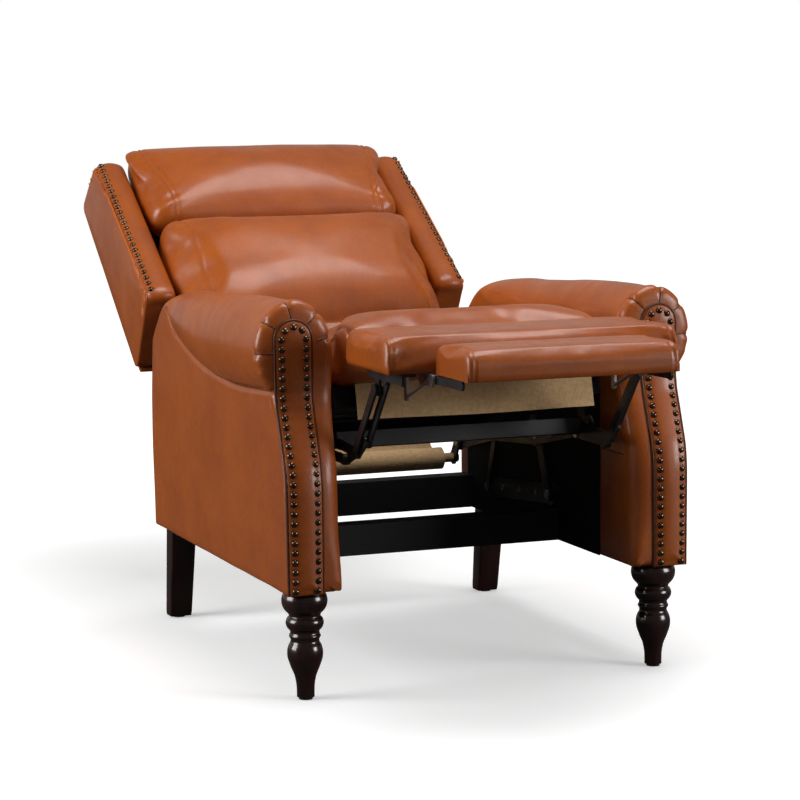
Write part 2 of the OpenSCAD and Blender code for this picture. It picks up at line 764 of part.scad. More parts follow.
// Footrest drive
module drive_tube() {
    half = layer_in(lower_layer) - fit_gap / 3;
    color("#151516") in_place() {
        translate([-half, drive_pivot[0], drive_pivot[1]]) rotate([-seat_tilt, 0, 0]) rotate([90, 0, 90])
            linear_extrude(2 * half) difference() {
                square(tube_w, center = true);
                square(tube_w - 2 * tube_wall, center = true);
            }
        for (s = [left, right]) on_side(s) {
            pin(drive_pivot, tube_w / 2 - tube_wall / 4, half - steel_t, half - tube_wall / 2);
            pin(drive_pivot, journal_r, half - steel_t, layer_out(seat_layer) + side_clearance + head_t);
            pin(drive_pivot, collar_r + side_clearance, layer_out(seat_layer) + side_clearance,
                layer_out(seat_layer) + side_clearance + head_t);
            slab(spring_x - steel_t / 2 - 2 * spring_wire_r - steel_t, steel_t) difference() {
                bar_2d(drive_pivot, spring_front_hook, small_eye_r);
                translate(drive_pivot) rotate(-seat_tilt) square(tube_w - tube_wall, center = true);
            }
            pin(spring_front_hook, spring_pin_r, spring_x - steel_t - 2 * spring_wire_r,
                spring_x + 2 * spring_pin_r);
        }
    }
}

module lower_link(s) {
    color("#232326") in_place() on_side(s) {
        difference() {
            slab(layer_in(lower_layer), steel_t) {
                circle_at(drive_pivot, journal_r + small_eye_r);
                strap_2d(drive_pivot, lower_end_pivot, link_r);
                chain_2d([lower_end_pivot, twin_base_pivot], link_r);
            }
            bore(drive_pivot, journal_r + pivot_clearance, lower_layer);
        }
        rivet(lower_end_pivot, lower_layer, upper_layer);
        rivet(twin_base_pivot, lower_layer, twin_layer);
    }
}

module upper_link(s) {
    color("#2b2b2f") in_place() on_side(s) {
        difference() {
            slab(layer_in(upper_layer), steel_t)
                chain_2d([tail_end_pivot, lower_end_pivot, pad_pivot], link_r);
            bore(lower_end_pivot, rivet_r + pivot_clearance, upper_layer);
        }
        rivet(tail_end_pivot, upper_layer, tail_layer);
        rivet(pad_pivot, upper_layer, lower_layer);
    }
}

module twin_link(s) {
    link(s, twin_layer, twin_base_pivot, twin_pad_pivot, rivet_r + pivot_clearance,
        rivet_r + 2 * pivot_clearance);
}

module tail_link(s) {
    color("#232326") in_place() on_side(s) difference() {
        slab(layer_in(tail_layer), steel_t) bar_2d(tail_seat_pivot, tail_end_pivot, link_r);
        bore(tail_seat_pivot, rivet_r + pivot_clearance, tail_layer);
        bore(tail_end_pivot, rivet_r + tail_hole_clearance, tail_layer);
    }
}

// Footrest
pad_eye_share = 1.2;
module ottoman_bracket(s) {
    color("#1f1f22") in_place() on_side(s) {
        difference() {
            slab(layer_in(lower_layer), steel_t) {
                intersection() {
                    bar_2d([flange_spans[0][0], board_bottom - link_r], [flange_spans[1][1] - link_r,
                        board_bottom - link_r], link_r);
                    translate([flange_spans[0][0], board_bottom - 2 * link_r])
                        square([flange_spans[1][1] - flange_spans[0][0], 2 * link_r]);
                }
                bar_2d(pad_pivot, [pad_pivot[0], board_bottom - link_r], link_r * pad_eye_share);
                bar_2d(twin_pad_pivot, [twin_pad_pivot[0], board_bottom - link_r], link_r * pad_eye_share);
            }
            bore(pad_pivot, rivet_r + pivot_clearance, lower_layer);
        }
        rivet(twin_pad_pivot, lower_layer, twin_layer);
        for (span = flange_spans)
            translate([board_half_w - 2 * flange_t, span[0], board_bottom - flange_t])
                cube([layer_in(lower_layer) - board_half_w + 2 * flange_t + steel_t / 2, span[1] - span[0],
                    flange_t]);
    }
}

module ottoman_board() {
    color("#a5824f") in_place() translate([-board_half_w, pad_front_y + board_inset_y, board_bottom])
        cube([2 * board_half_w, pad_len - 2 * board_inset_y, board_t]);
}

module ottoman_pad() {
    color("#b06a35") in_place() translate([0, pad_rear_y - pad_len / 2, pad_bottom])
        cushion(pad_half_w, pad_len / 2, pad_h, pad_edge_r, pad_crown);
}

module flipper_support(s) {
    x = flipper_support_x;
    lug_top = board_bottom;
    color("#26262a") in_place() on_side(s) {
        slab(x, steel_t) {
            intersection() {
                bar_2d(flipper_pivot, [pad_front_y + 4 * flipper_hinge_r, flipper_pivot[1]],
                    flipper_hinge_r + flange_t);
                translate([flipper_pivot[0] - 2 * link_r, lug_top - 4 * link_r])
                    square([8 * link_r, 4 * link_r]);
            }
            intersection() {
                bar_2d(rod_rear, [rod_rear[0], lug_top], rod_carrier_r);
                translate([rod_rear[0] - rod_carrier_r, rod_rear[1] - rod_carrier_r])
                    square([2 * rod_carrier_r, lug_top - rod_rear[1] + rod_carrier_r]);
            }
        }
        rod_between(rod_rear, [flipper_pivot[0] + flipper_hinge_r, flipper_pivot[1]], x + steel_t / 2, rod_r);
        pin(flipper_pivot, rivet_r, flipper_bracket_x - side_clearance - head_t, x + steel_t / 2);
        pin(flipper_pivot, flipper_hinge_r - overrun, flipper_bracket_x - side_clearance - head_t,
            flipper_bracket_x - side_clearance);
    }
}

// A round rod between two places in one plane of x
module rod_between(a, b, x, r) {
    translate([x, a[0], a[1]]) rotate([atan2(b[1] - a[1], b[0] - a[0]), 0, 0]) rotate([-90, 0, 0])
        cylinder(r = r, h = norm(b - a), $fn = round_fn);
}

flipper_bracket_share = 0.78;
module flipper_bracket(s) {
    top = flipper_board_bottom;
    reach = flipper_len * flipper_bracket_share;
    color("#26262a") in_place() on_side(s) difference() {
        slab(flipper_bracket_x, steel_t) {
            intersection() {
                bar_2d(flipper_pivot, [flipper_pivot[0] - reach, top - flipper_hinge_r], flipper_hinge_r);
                translate([flipper_pivot[0] - 2 * reach, top - 4 * link_r]) square([4 * reach, 4 * link_r]);
            }
            circle_at(flipper_pivot, flipper_hinge_r);
        }
        pin(flipper_pivot, rivet_r + pivot_clearance, flipper_bracket_x - overrun,
            flipper_bracket_x + steel_t + overrun);
    }
}

module flipper_board() {
    color("#a5824f") in_place()
        translate([-flipper_half_w + overrun, flipper_front_y + board_inset_y, flipper_board_bottom])
            cube([2 * flipper_half_w - 2 * overrun, flipper_len - 2 * board_inset_y, board_t]);
}

module flipper_pad() {
    color("#b06a35") in_place() translate([0, flipper_rear_y - flipper_len / 2, flipper_bottom])
        cushion(flipper_half_w, flipper_len / 2, flipper_h, pad_edge_r, pad_crown);
}

// Back
// the back's own axes: x across, y up along t, z along n
module on_back(t, n) {
    p = back_at(t, n);
    translate([0, p[0], p[1]]) rotate([back_tilt, 0, 0]) children();
}

module back_frame() {
    length = frame_high_t - frame_low_t;
    pitch = (length - back_post_w) / (back_slats + 1);
    color("#a5824f") in_place() on_back(frame_low_t, frame_n - frame_depth) {
        for (s = [left, right])
            translate([s * (back_frame_half_w - back_post_w / 2) - back_post_w / 2, 0, 0])
                cube([back_post_w, length, frame_depth]);
        for (i = [0 : back_slats + 1]) let (half = frame_low_t + i * pitch > wing_slat_t
            ? wing_inner_x - fit_gap : back_frame_half_w)
            translate([-half, i * pitch, frame_depth / 4]) cube([2 * half, back_post_w, frame_depth / 2]);
    }
}

module lumbar_cushion() {
    color("#b06a35") in_place() on_back(lumbar_low_t + lumbar_len / 2, cushion_back_n)
        cushion(back_half_w, lumbar_len / 2, lumbar_h, back_edge_r, back_crown);
}

module head_pillow() {
    color("#b8733b") in_place()
        on_back(lumbar_low_t + lumbar_len + crease_gap + pillow_len / 2, cushion_back_n)
            cushion(back_half_w, pillow_len / 2, pillow_h, back_edge_r, back_crown);
}

// the wing's outline in [t, n] with rounded corners
wing_corners = [[0, 0], [wing_len, 0], [wing_len + wing_top_rise, -wing_top_depth],
    [-wing_heel_drop, -wing_depth]];
wing_corner_radii = [22, 34, 18, 16];
corner_steps = 6;
function rounded(points, radii) = [for (i = [0 : len(points) - 1]) let (
    p = points[i],
    a = unit(points[(i + len(points) - 1) % len(points)] - p),
    b = unit(points[(i + 1) % len(points)] - p),
    half = acos(a * b) / 2,
    reach = radii[i] / tan(half),
    centre = p + unit(a + b) * radii[i] / sin(half),
    from = p + a * reach - centre,
    sweep = 180 - 2 * half,
    turn = cross([a[0], a[1], 0], [b[0], b[1], 0])[2] > 0 ? -1 : 1)
    for (k = [0 : corner_steps]) centre + turned(from, turn * sweep * k / corner_steps)];
wing_edge_shares = [1, 0.45, 0.12, 0, 0, 0.12, 0.45, 1];
wing_place_shares = [0, 0.05, 0.15, 0.3, 0.7, 0.85, 0.95, 1];
module wing(s) {
    outline = rounded(wing_corners, wing_corner_radii);
    middle = mean_of([for (p = outline) [p[0], p[1], 0]]);
    rings = [for (k = [0 : len(wing_place_shares) - 1]) [for (p = outline) let (
        d = [p[0] - middle[0], p[1] - middle[1]],
        q = [middle[0], middle[1]] + d - unit(d) * wing_edge * wing_edge_shares[k])
        [wing_inner_x + wing_w * wing_place_shares[k], q[0], q[1]]]];
    color("#b06a35") in_place() on_side(s) on_back(0, 0) loft(rings);
}

module outside_back_panel() {
    top = [wing_len + wing_top_rise, -wing_top_depth];
    low = [-wing_heel_drop, -wing_depth];
    d = unit(top - low);
    out = [d[1], -d[0]] * back_panel_t;
    lip = [wing_len + wing_top_rise / 2, -wing_top_depth / 2];
    e = unit(top - lip);
    up = [-e[1], e[0]] * back_panel_t;
    color("#9c5a2b") in_place() on_back(0, 0) {
        translate([-wing_outer_x + wing_edge, 0, 0]) rotate([90, 0, 90])
            linear_extrude(2 * (wing_outer_x - wing_edge))
                polygon([low, top, top + out, low + out]);
        translate([-wing_inner_x + fit_gap, 0, 0]) rotate([90, 0, 90])
            linear_extrude(2 * (wing_inner_x - fit_gap))
                polygon([top - d * back_panel_t, lip, lip + up, top + up + out, top + out]);
    }
}

module back_bracket(s) {
    color("#2a2a2e") in_place() on_side(s) difference() {
        slab(layer_in(tail_layer), steel_t) {
            foot = back_at(bracket_foot[0], bracket_foot[1]);
            chain_2d([back_at(tail_bar_pos[0], tail_bar_pos[1]), back_pivot, foot,
                back_at(bracket_head[0], bracket_head[1])], bracket_r);
        }
        bore(back_pivot, rivet_r + pivot_clearance, tail_layer);
    }
}

module back_tail() {
    bar = back_at(tail_bar_pos[0], tail_bar_pos[1]);
    top = back_at(-wing_heel_drop - fit_gap, -wing_depth);
    edge = bar + tail_bar_r * unit(turned(top - bar, -90)) - tail_sheet_t * unit(turned(top - bar, -90));
    color("#a08a63") in_place() pin(bar, tail_core_r, -back_frame_half_w, back_frame_half_w);
    color("#a08a63") in_place() slab(-tail_half_w, 2 * tail_half_w) {
        circle_at(bar, tail_bar_r);
        polygon([edge, top, top + tail_sheet_t * unit(turned(top - bar, -90)),
            edge + tail_sheet_t * unit(turned(top - bar, -90))]);
    }
}

arm_frame(left);  // arm_frame_left
arm_frame(right);  // arm_frame_right
arm_cover(left);  // arm_cover_left
arm_cover(right);  // arm_cover_right
arm_front_panel(left);  // arm_front_panel_left
arm_front_panel(right);  // arm_front_panel_right
inner_lining(left);  // inner_lining_left
inner_lining(right);  // inner_lining_right
front_leg(left);  // front_leg_left
front_leg(right);  // front_leg_right
rear_leg(left);  // rear_leg_left
rear_leg(right);  // rear_leg_right
leg_bolts();
leg_glides();
rear_rail();
middle_rail();
mounting_plate(left);  // mounting_plate_left
mounting_plate(right);  // mounting_plate_right
mounting_screws();
base_rivets();
rear_link(left);  // rear_link_left
rear_link(right);  // rear_link_right
front_link(left);  // front_link_left
front_link(right);  // front_link_right
seat_plate(left);  // seat_plate_left
seat_plate(right);  // seat_plate_right
seat_rivets();
seat_frame();
seat_cushion();
seat_front_cloth();
return_spring(left);  // return_spring_left
return_spring(right);  // return_spring_right
drive_tube();
lower_link(left);  // lower_link_left
lower_link(right);  // lower_link_right
upper_link(left);  // upper_link_left
upper_link(right);  // upper_link_right
twin_link(left);  // twin_link_left
twin_link(right);  // twin_link_right
tail_link(left);  // tail_link_left
tail_link(right);  // tail_link_right
ottoman_bracket(left);  // ottoman_bracket_left
ottoman_bracket(right);  // ottoman_bracket_right
ottoman_board();
ottoman_pad();
flipper_support(left);  // flipper_support_left
flipper_support(right);  // flipper_support_right
flipper_bracket(left);  // flipper_bracket_left
flipper_bracket(right);  // flipper_bracket_right
flipper_board();
flipper_pad();
back_frame();
lumbar_cushion();
head_pillow();
wing(left);  // wing_left
wing(right);  // wing_right
outside_back_panel();
back_bracket(left);  // back_bracket_left
back_bracket(right);  // back_bracket_right
back_tail();
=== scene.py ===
"""Looks of a reclined wingback chair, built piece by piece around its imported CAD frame."""

import math

import bmesh
import bpy
import numpy as np
from bpy.props import FloatProperty, FloatVectorProperty, IntProperty, PointerProperty
from mathutils import Matrix, Vector, noise
from mathutils.bvhtree import BVHTree


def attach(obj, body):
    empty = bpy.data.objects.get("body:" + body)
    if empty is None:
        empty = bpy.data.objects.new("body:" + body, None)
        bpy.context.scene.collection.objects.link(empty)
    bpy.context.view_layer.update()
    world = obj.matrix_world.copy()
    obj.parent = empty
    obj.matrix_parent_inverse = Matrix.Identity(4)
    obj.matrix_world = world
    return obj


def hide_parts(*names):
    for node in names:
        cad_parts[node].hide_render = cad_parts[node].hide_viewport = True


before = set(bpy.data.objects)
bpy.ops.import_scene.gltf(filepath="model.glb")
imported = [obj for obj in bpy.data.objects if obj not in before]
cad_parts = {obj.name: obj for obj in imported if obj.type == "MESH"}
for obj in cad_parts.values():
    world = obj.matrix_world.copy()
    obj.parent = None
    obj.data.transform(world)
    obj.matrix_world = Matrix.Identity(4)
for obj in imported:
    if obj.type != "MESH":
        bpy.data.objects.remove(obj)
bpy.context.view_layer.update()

bl_info = {
    "name": "Wingback Recliner Looks",
    "version": (1, 0, 0),
    "blender": (4, 5, 0),
    "location": "3D View > Sidebar > Recliner",
    "description": "Leather, cushions, trim, legs and a plain studio around a packed recliner frame",
    "category": "Object",
}

SIDES = (-1, 1)
Y_SHIFT = -101.902
MM = 0.001
HALF_TURN = math.pi
QUARTER_TURN = math.pi / 2
FULL_TURN = 2 * math.pi

# Sizes below are millimetres in the side view's own frame: y = 0 near the middle of the seat
ARM = {"inner": 250.0, "width": 93.0, "over": 27.0, "front": -400.0, "depth": 743.0,
       "bottom": 173.0, "top": 629.0, "rear_top": 521.0, "setback": 43.0}
SEAT_ORIGIN = (-262.0, 392.0)
SEAT_TILT = -13.5
WING_HEEL = (472.0, 574.0)
BACK_TILT = 32.6
CUSHION_BACK = -42.0

# The slot of each material that pieces wear; trim wears the slot of what it is fixed to
SLOTS = {
    **dict.fromkeys(("Cognac leather", "Welt leather", "Piping leather", "Stitch thread"), "cognac_leather"),
    "Tan cloth": "tan_cloth",
    "Espresso wood": "espresso_wood",
    "Plain wood": "plain_wood",
    "Antique bronze": "zinc_steel",
}


# Settings

def colour_setting(name, description, default):
    return FloatVectorProperty(name=name, description=description, subtype="COLOR", size=3, default=default)


def length_setting(name, description, default):
    return FloatProperty(name=name, description=description, default=default, unit="LENGTH")


class LeatherSettings(bpy.types.PropertyGroup):
    colour: colour_setting("Colour", "Lighter leather tone", (0.47, 0.108, 0.0085))
    shade: colour_setting("Shade", "Deeper tone of the mottling", (0.25, 0.046, 0.005))
    roughness: FloatProperty(name="Roughness", description="Mean roughness of the leather", default=0.33,
                             min=0.05, max=1.0)


class TrimSettings(bpy.types.PropertyGroup):
    nail_radius: length_setting("Nail radius", "Radius of a nail head", 0.0057)
    nail_height: length_setting("Nail height", "Height of a nail head", 0.0042)
    nail_pitch: length_setting("Nail pitch", "Distance between neighbouring nails on the arms", 0.0152)
    wing_pitch: length_setting("Wing nail pitch", "Distance between neighbouring nails on the wings", 0.0172)
    welt_radius: length_setting("Welt radius", "Radius of a welt cord under the leather", 0.0022)
    stitch_pitch: length_setting("Stitch pitch", "Distance between two stitches", 0.0062)


class CushionSettings(bpy.types.PropertyGroup):
    pressure: FloatProperty(name="Pressure", description="Pressure of the filling in the cloth simulation",
                            default=4.0, min=0.0)
    frames: IntProperty(name="Frames", description="Frames of cloth simulation", default=18, min=1, max=40)


class StudioSettings(bpy.types.PropertyGroup):
    lens: FloatProperty(name="Lens", description="Focal length in millimetres on a 36 mm sensor",
                        default=124.6)
    key: FloatProperty(name="Key light", description="Power of the front light in watts", default=54.0)
    top: FloatProperty(name="Top light", description="Power of the overhead light in watts", default=50.0)
    fill: FloatProperty(name="Fill light", description="Power of the side light in watts", default=72.0)


class ReclinerLooks(bpy.types.PropertyGroup):
    leather: PointerProperty(type=LeatherSettings, name="Leather", description="Leather colours")
    trim: PointerProperty(type=TrimSettings, name="Trim", description="Nails, welts and stitches")
    cushion: PointerProperty(type=CushionSettings, name="Cushions", description="Cloth simulation")
    studio: PointerProperty(type=StudioSettings, name="Studio", description="Lights and camera")


def settings():
    return bpy.context.scene.recliner_looks


class Step:
    """What every operator of this script shares: it makes its pieces or raises."""

    def execute(self, context):
        self.make()
        return {"FINISHED"}


# Plain helpers

def placed(points):
    """Millimetres in the side view's frame become metres in the object's frame."""
    p = np.array(points, float).reshape(-1, 3)
    p[:, 1] += Y_SHIFT
    return p * MM


def on_slope(points, origin, tilt):
    """Points as x, distance along a slope and height square to it, set into the side view."""
    p = np.asarray(points, float)
    c, s = math.cos(math.radians(tilt)), math.sin(math.radians(tilt))
    along, up = p[..., 1], p[..., 2]
    return np.stack([p[..., 0], along * c - up * s + origin[0], along * s + up * c + origin[1]], -1)


def on_seat(points):
    return on_slope(points, SEAT_ORIGIN, SEAT_TILT)


def on_back(points):
    return on_slope(points, WING_HEEL, BACK_TILT)


def at_x(x, section):
    """A section in y and z becomes points at one x."""
    return np.stack([np.full(len(section), x), section[:, 0], section[:, 1]], -1)


def at_y(y, section):
    """A section in x and z becomes points at one y."""
    return np.stack([section[:, 0], np.full(len(section), y), section[:, 1]], -1)


def mirrored(points, side):
    p = np.array(points, float)
    p[..., 0] *= side
    return p


def side_name(side):
    return "left" if side < 0 else "right"


def unit_between(start, end):
    return (end - start) / np.linalg.norm(end - start)


def curve_through(xs, ys, x):
    """A smooth curve through table values, without overshoot at its ends."""
    xs, ys, x = (np.asarray(v, float) for v in (xs, ys, x))
    h = np.diff(xs)
    d = np.diff(ys) / h
    m = np.concatenate([[d[0]], (d[:-1] * h[1:] + d[1:] * h[:-1]) / (h[1:] + h[:-1]), [d[-1]]])
    k = np.clip(np.searchsorted(xs, x, side="right") - 1, 0, len(h) - 1)
    t = (x - xs[k]) / h[k]
    return ((2 * t**3 - 3 * t**2 + 1) * ys[k] + (t**3 - 2 * t**2 + t) * h[k] * m[k]
            + (3 * t**2 - 2 * t**3) * ys[k + 1] + (t**3 - t**2) * h[k] * m[k + 1])


def eased(v, low, high):
    t = np.clip((np.asarray(v, float) - low) / (high - low), 0, 1)
    return t * t * (3 - 2 * t)


def bump_at(v, centre, width):
    return np.exp(-((np.asarray(v, float) - centre) / width) ** 2)


def wavy(points, size, seed):
    """Smooth noise from -1 to 1 at each point, for features of about that size."""
    offset = Vector((seed * 3.7, seed * 1.3, seed * 5.1))
    p = np.asarray(points, float)
    values = [noise.noise(Vector(point) / size + offset) for point in p.reshape(-1, 3)]
    return np.array(values).reshape(p.shape[:-1])


def resampled(path, count, closed=False):
    p = np.asarray(path, float)
    if closed:
        p = np.vstack([p, p[:1]])
    along = np.concatenate([[0], np.cumsum(np.linalg.norm(np.diff(p, axis=0), axis=1))])
    at = np.linspace(0, along[-1], count + 1 if closed else count)
    out = np.stack([np.interp(at, along, p[:, k]) for k in range(p.shape[1])], -1)
    return out[:-1] if closed else out


def smooth_path(path, passes=4):
    p = np.array(path, float)
    for _ in range(passes):
        p[1:-1] = (p[:-2] + 2 * p[1:-1] + p[2:]) / 4
    return p


def rounded_outline(corners, radii, steps=10):
    """A closed outline through corners that are rounded with the radii."""
    out = []
    n = len(corners)
    for i, radius in enumerate(radii):
        p, a, b = (np.asarray(corners[k % n], float) for k in (i, i - 1, i + 1))
        u, v = unit_between(p, a), unit_between(p, b)
        half = math.acos(float(np.clip(u @ v, -1, 1))) / 2
        centre = p + (u + v) / np.linalg.norm(u + v) * radius / math.sin(half)
        slope = math.tan(half)
        start, end = p + u * radius / slope - centre, p + v * radius / slope - centre
        a0, a1 = math.atan2(start[1], start[0]), math.atan2(end[1], end[0])
        sweep = (a1 - a0 + HALF_TURN) % FULL_TURN - HALF_TURN
        turns = [a0 + sweep * k / steps for k in range(steps + 1)]
        out += [centre + radius * np.array([math.cos(t), math.sin(t)]) for t in turns]
    return np.array(out)


def outline_normals(outline):
    """Unit normals that point out of a closed, anticlockwise outline."""
    d = np.roll(outline, -1, 0) - np.roll(outline, 1, 0)
    n = np.stack([d[:, 1], -d[:, 0]], -1)
    n /= np.linalg.norm(n, axis=1)[:, None]
    area = np.sum(outline[:, 0] * np.roll(outline[:, 1], -1) - np.roll(outline[:, 0], -1) * outline[:, 1])
    return n if area > 0 else -n


def outward(path, distance):
    """Offsets for an open path that goes up, over and down, away from its inside."""
    d = np.gradient(np.asarray(path, float), axis=0)
    n = np.stack([d[:, 1], -d[:, 0]], -1)
    return n / np.linalg.norm(n, axis=1)[:, None] * distance


# Meshes and pieces

def finish_mesh(mesh, smooth_angle):
    """Welds a mesh, turns its faces outward and marks its sharp edges."""
    bm = bmesh.new()
    bm.from_mesh(mesh)
    bmesh.ops.remove_doubles(bm, verts=bm.verts, dist=1e-6)
    bmesh.ops.recalc_face_normals(bm, faces=bm.faces)
    if bm.calc_volume(signed=True) < 0:
        bmesh.ops.reverse_faces(bm, faces=bm.faces)
    limit = math.radians(smooth_angle)
    for face in bm.faces:
        face.smooth = True
    for edge in bm.edges:
        edge.smooth = len(edge.link_faces) == 2 and edge.calc_face_angle(0) < limit
    bm.to_mesh(mesh)
    bm.free()


def linked_object(name, data):
    obj = bpy.data.objects.new(name, data)
    bpy.context.scene.collection.objects.link(obj)
    return obj


def carried(obj, body):
    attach(obj, body)
    return obj


def add_mesh(name, points, faces, material, smooth_angle=40):
    """A new mesh object from points in metres."""
    mesh = bpy.data.meshes.new(name)
    mesh.from_pydata([tuple(p) for p in points], [], faces)
    finish_mesh(mesh, smooth_angle)
    mesh.materials.append(bpy.data.materials[material])
    return linked_object(name, mesh)


def add_piece(name, points, faces, body, material, smooth_angle=40):
    """A new mesh piece that rides on a body, from points in the side view's millimetres."""
    return carried(add_mesh(name, placed(points), faces, material, smooth_angle), body)


def strip_cap(base, columns, top):
    """Faces that close a long ring in pairs, left and right of the point at its top."""
    pairs = [(base + (top - k) % columns, base + (top + k) % columns) for k in range(1, (columns + 1) // 2)]
    faces = [(base + top, pairs[0][1], pairs[0][0])]
    faces += [(a, b, d, c) for (a, b), (c, d) in zip(pairs[:-1], pairs[1:])]
    if columns % 2 == 0:
        faces.append((*pairs[-1], base + (top + columns // 2) % columns))
    return faces


def loft_faces(rows, columns, cap_first=True, cap_last=True):
    faces = [(k * columns + i, k * columns + (i + 1) % columns, (k + 1) * columns + (i + 1) % columns,
              (k + 1) * columns + i) for k in range(rows - 1) for i in range(columns)]
    if cap_first:
        faces.append(tuple(reversed(range(columns))))
    if cap_last:
        faces.append(tuple(range((rows - 1) * columns, rows * columns)))
    return faces


def add_loft(name, rings, body, material, smooth_angle=40):
    rings = np.asarray(rings, float)
    return add_piece(name, rings, loft_faces(*rings.shape[:2]), body, material, smooth_angle)


def tube_rings(path, radius, sides):
    """Rings round a path, carried along it without twisting."""
    p = np.asarray(path, float)
    tangent = np.gradient(p, axis=0)
    tangent /= np.linalg.norm(tangent, axis=1)[:, None]
    side = np.cross(tangent[0], (0.31, 0.87, 0.38))
    rings = []
    for point, t in zip(p, tangent):
        side = side - (side @ t) * t
        side /= np.linalg.norm(side)
        other = np.cross(t, side)
        rings.append([point + radius * (math.cos(a) * side + math.sin(a) * other)
                      for a in np.linspace(0, FULL_TURN, sides, endpoint=False)])
    return np.array(rings)


def add_tube(name, path, radius, body, material, sides=8):
    return add_loft(name, tube_rings(path, radius, sides), body, material, 60)


def coordinates(obj, kind="co"):
    flat = np.empty(len(obj.data.vertices) * 3)
    obj.data.vertices.foreach_get(kind, flat)
    return flat.reshape(-1, 3)


def set_coordinates(obj, points):
    obj.data.vertices.foreach_set("co", np.asarray(points, float).ravel())
    obj.data.update()


def take_result(obj):
    """The evaluated mesh becomes the object's own, and its modifiers go."""
    bpy.context.view_layer.update()
    evaluated = obj.evaluated_get(bpy.context.evaluated_depsgraph_get())
    mesh = bpy.data.meshes.new_from_object(evaluated)
    obj.modifiers.clear()
    old = obj.data
    name = old.name
    obj.data = mesh
    bpy.data.meshes.remove(old)
    mesh.name = name


def smooth_faces(mesh):
    for polygon in mesh.polygons:
        polygon.use_smooth = True


# Shared effects and materials

VECTOR, RGB, VALUE = "NodeSocketVector", "NodeSocketColor", "NodeSocketFloat"
TONES = {"Colour": (RGB, (1, 1, 1, 1)), "Shade": (RGB, (0.5, 0.5, 0.5, 1))}


class Graph:
    """Short calls that add linked nodes to a node tree."""

    def __init__(self, tree):
        self.tree = tree
        tree.nodes.clear()

    def add(self, kind, values=(), **settings_):
        node = self.tree.nodes.new(kind)
        for key, value in settings_.items():
            setattr(node, key, value)
        for key, value in dict(values).items():
            socket = node.inputs[key]
            if isinstance(value, bpy.types.NodeSocket):
                self.tree.links.new(value, socket)
            else:
                socket.default_value = value
        return node

    def out(self, *values, **settings_):
        """The first output of a new node."""
        return self.add(*values, **settings_).outputs[0]

    def mix(self, factor, a, b):
        return self.add("ShaderNodeMix", {0: factor, 6: a, 7: b}, data_type="RGBA").outputs[2]

    def math(self, operation, a, b=0.0):
        return self.out("ShaderNodeMath", {0: a, 1: b}, operation=operation)

    def spread(self, value, low, high, to_low=0.0, to_high=1.0):
        return self.out("ShaderNodeMapRange", {0: value, 1: low, 2: high, 3: to_low, 4: to_high})

    def noise(self, vector, scale, detail=2.0, distortion=0.0):
        return self.out("ShaderNodeTexNoise", {"Vector": vector, "Scale": scale, "Detail": detail,
                                               "Distortion": distortion})


def shared_effect(name, build, inputs, outputs):
    """A node group that several materials read, with its sockets named."""
    group = bpy.data.node_groups.new(name, "ShaderNodeTree")
    for label, (kind, default) in {"Vector": (VECTOR, None), **inputs}.items():
        socket = group.interface.new_socket(name=label, in_out="INPUT", socket_type=kind)
        if default is not None:
            socket.default_value = default
    for label, kind in outputs.items():
        group.interface.new_socket(name=label, in_out="OUTPUT", socket_type=kind)
    graph = Graph(group)
    graph.add("NodeGroupOutput", build(graph, graph.add("NodeGroupInput").outputs))
    return group


def build_leather(graph, source):
    """Mottled leather: clouds, blotches and flecks in its tone, pores and soft folds in its height."""
    where = source["Vector"]
    clouds = graph.noise(where, 7.0, 3.0, 0.6)
    blotches = graph.noise(where, 26.0, 4.0, 0.3)
    flecks = graph.noise(where, 210.0, 3.0, 0.2)
    mottle = graph.math("ADD", graph.spread(clouds, 0.32, 0.68, 0.0, 0.32),
                        graph.spread(blotches, 0.3, 0.7, 0.0, 0.26))
    mottle = graph.math("ADD", mottle, graph.spread(flecks, 0.3, 0.7, 0.0, 0.26))
    colour = graph.mix(graph.math("MINIMUM", mottle, 1.0), source["Colour"], source["Shade"])
    cells = graph.out("ShaderNodeTexVoronoi", {"Vector": where, "Scale": source["Grain"]},
                      feature="DISTANCE_TO_EDGE")
    pores = graph.spread(cells, 0.0, 0.16)
    folds = graph.noise(where, 34.0, 3.0, 1.4)
    height = graph.math("ADD", graph.math("MULTIPLY", pores, 0.22), graph.math("MULTIPLY", folds, 0.3))
    colour = graph.mix(graph.spread(pores, 0.0, 1.0, 0.3, 0.0), colour, source["Shade"])
    rough = graph.math("ADD", source["Roughness"], graph.spread(blotches, 0.3, 0.7, -0.05, 0.07))
    return {"Colour": colour, "Roughness": rough, "Height": height}


def build_figure(graph, source):
    """Wood figure: long soft streaks along one axis."""
    stretched = graph.out("ShaderNodeMapping", {"Vector": source["Vector"], "Scale": source["Stretch"]})
    streaks = graph.noise(stretched, 60.0, 6.0, 0.8)
    colour = graph.mix(graph.spread(streaks, 0.3, 0.7), source["Colour"], source["Shade"])
    return {"Colour": colour, "Height": streaks}


def build_weave(graph, source):
    """Plain weave: two crossed sets of threads."""
    parts = graph.add("ShaderNodeSeparateXYZ", {0: source["Vector"]}).outputs
    waves = []
    for axis in (parts[0], graph.math("ADD", parts[1], parts[2])):
        turns = graph.math("MULTIPLY", axis, source["Threads"])
        waves.append(graph.math("SINE", graph.math("MULTIPLY", turns, FULL_TURN)))
    height = graph.math("MULTIPLY", graph.math("ADD", *waves), 0.5)
    fuzz = graph.noise(source["Vector"], 160.0, 3.0)
    light = graph.math("ADD", graph.spread(height, -1.0, 1.0, 0.0, 0.55),
                       graph.spread(fuzz, 0.3, 0.7, 0.0, 0.45))
    return {"Colour": graph.mix(light, source["Shade"], source["Colour"]), "Height": height}


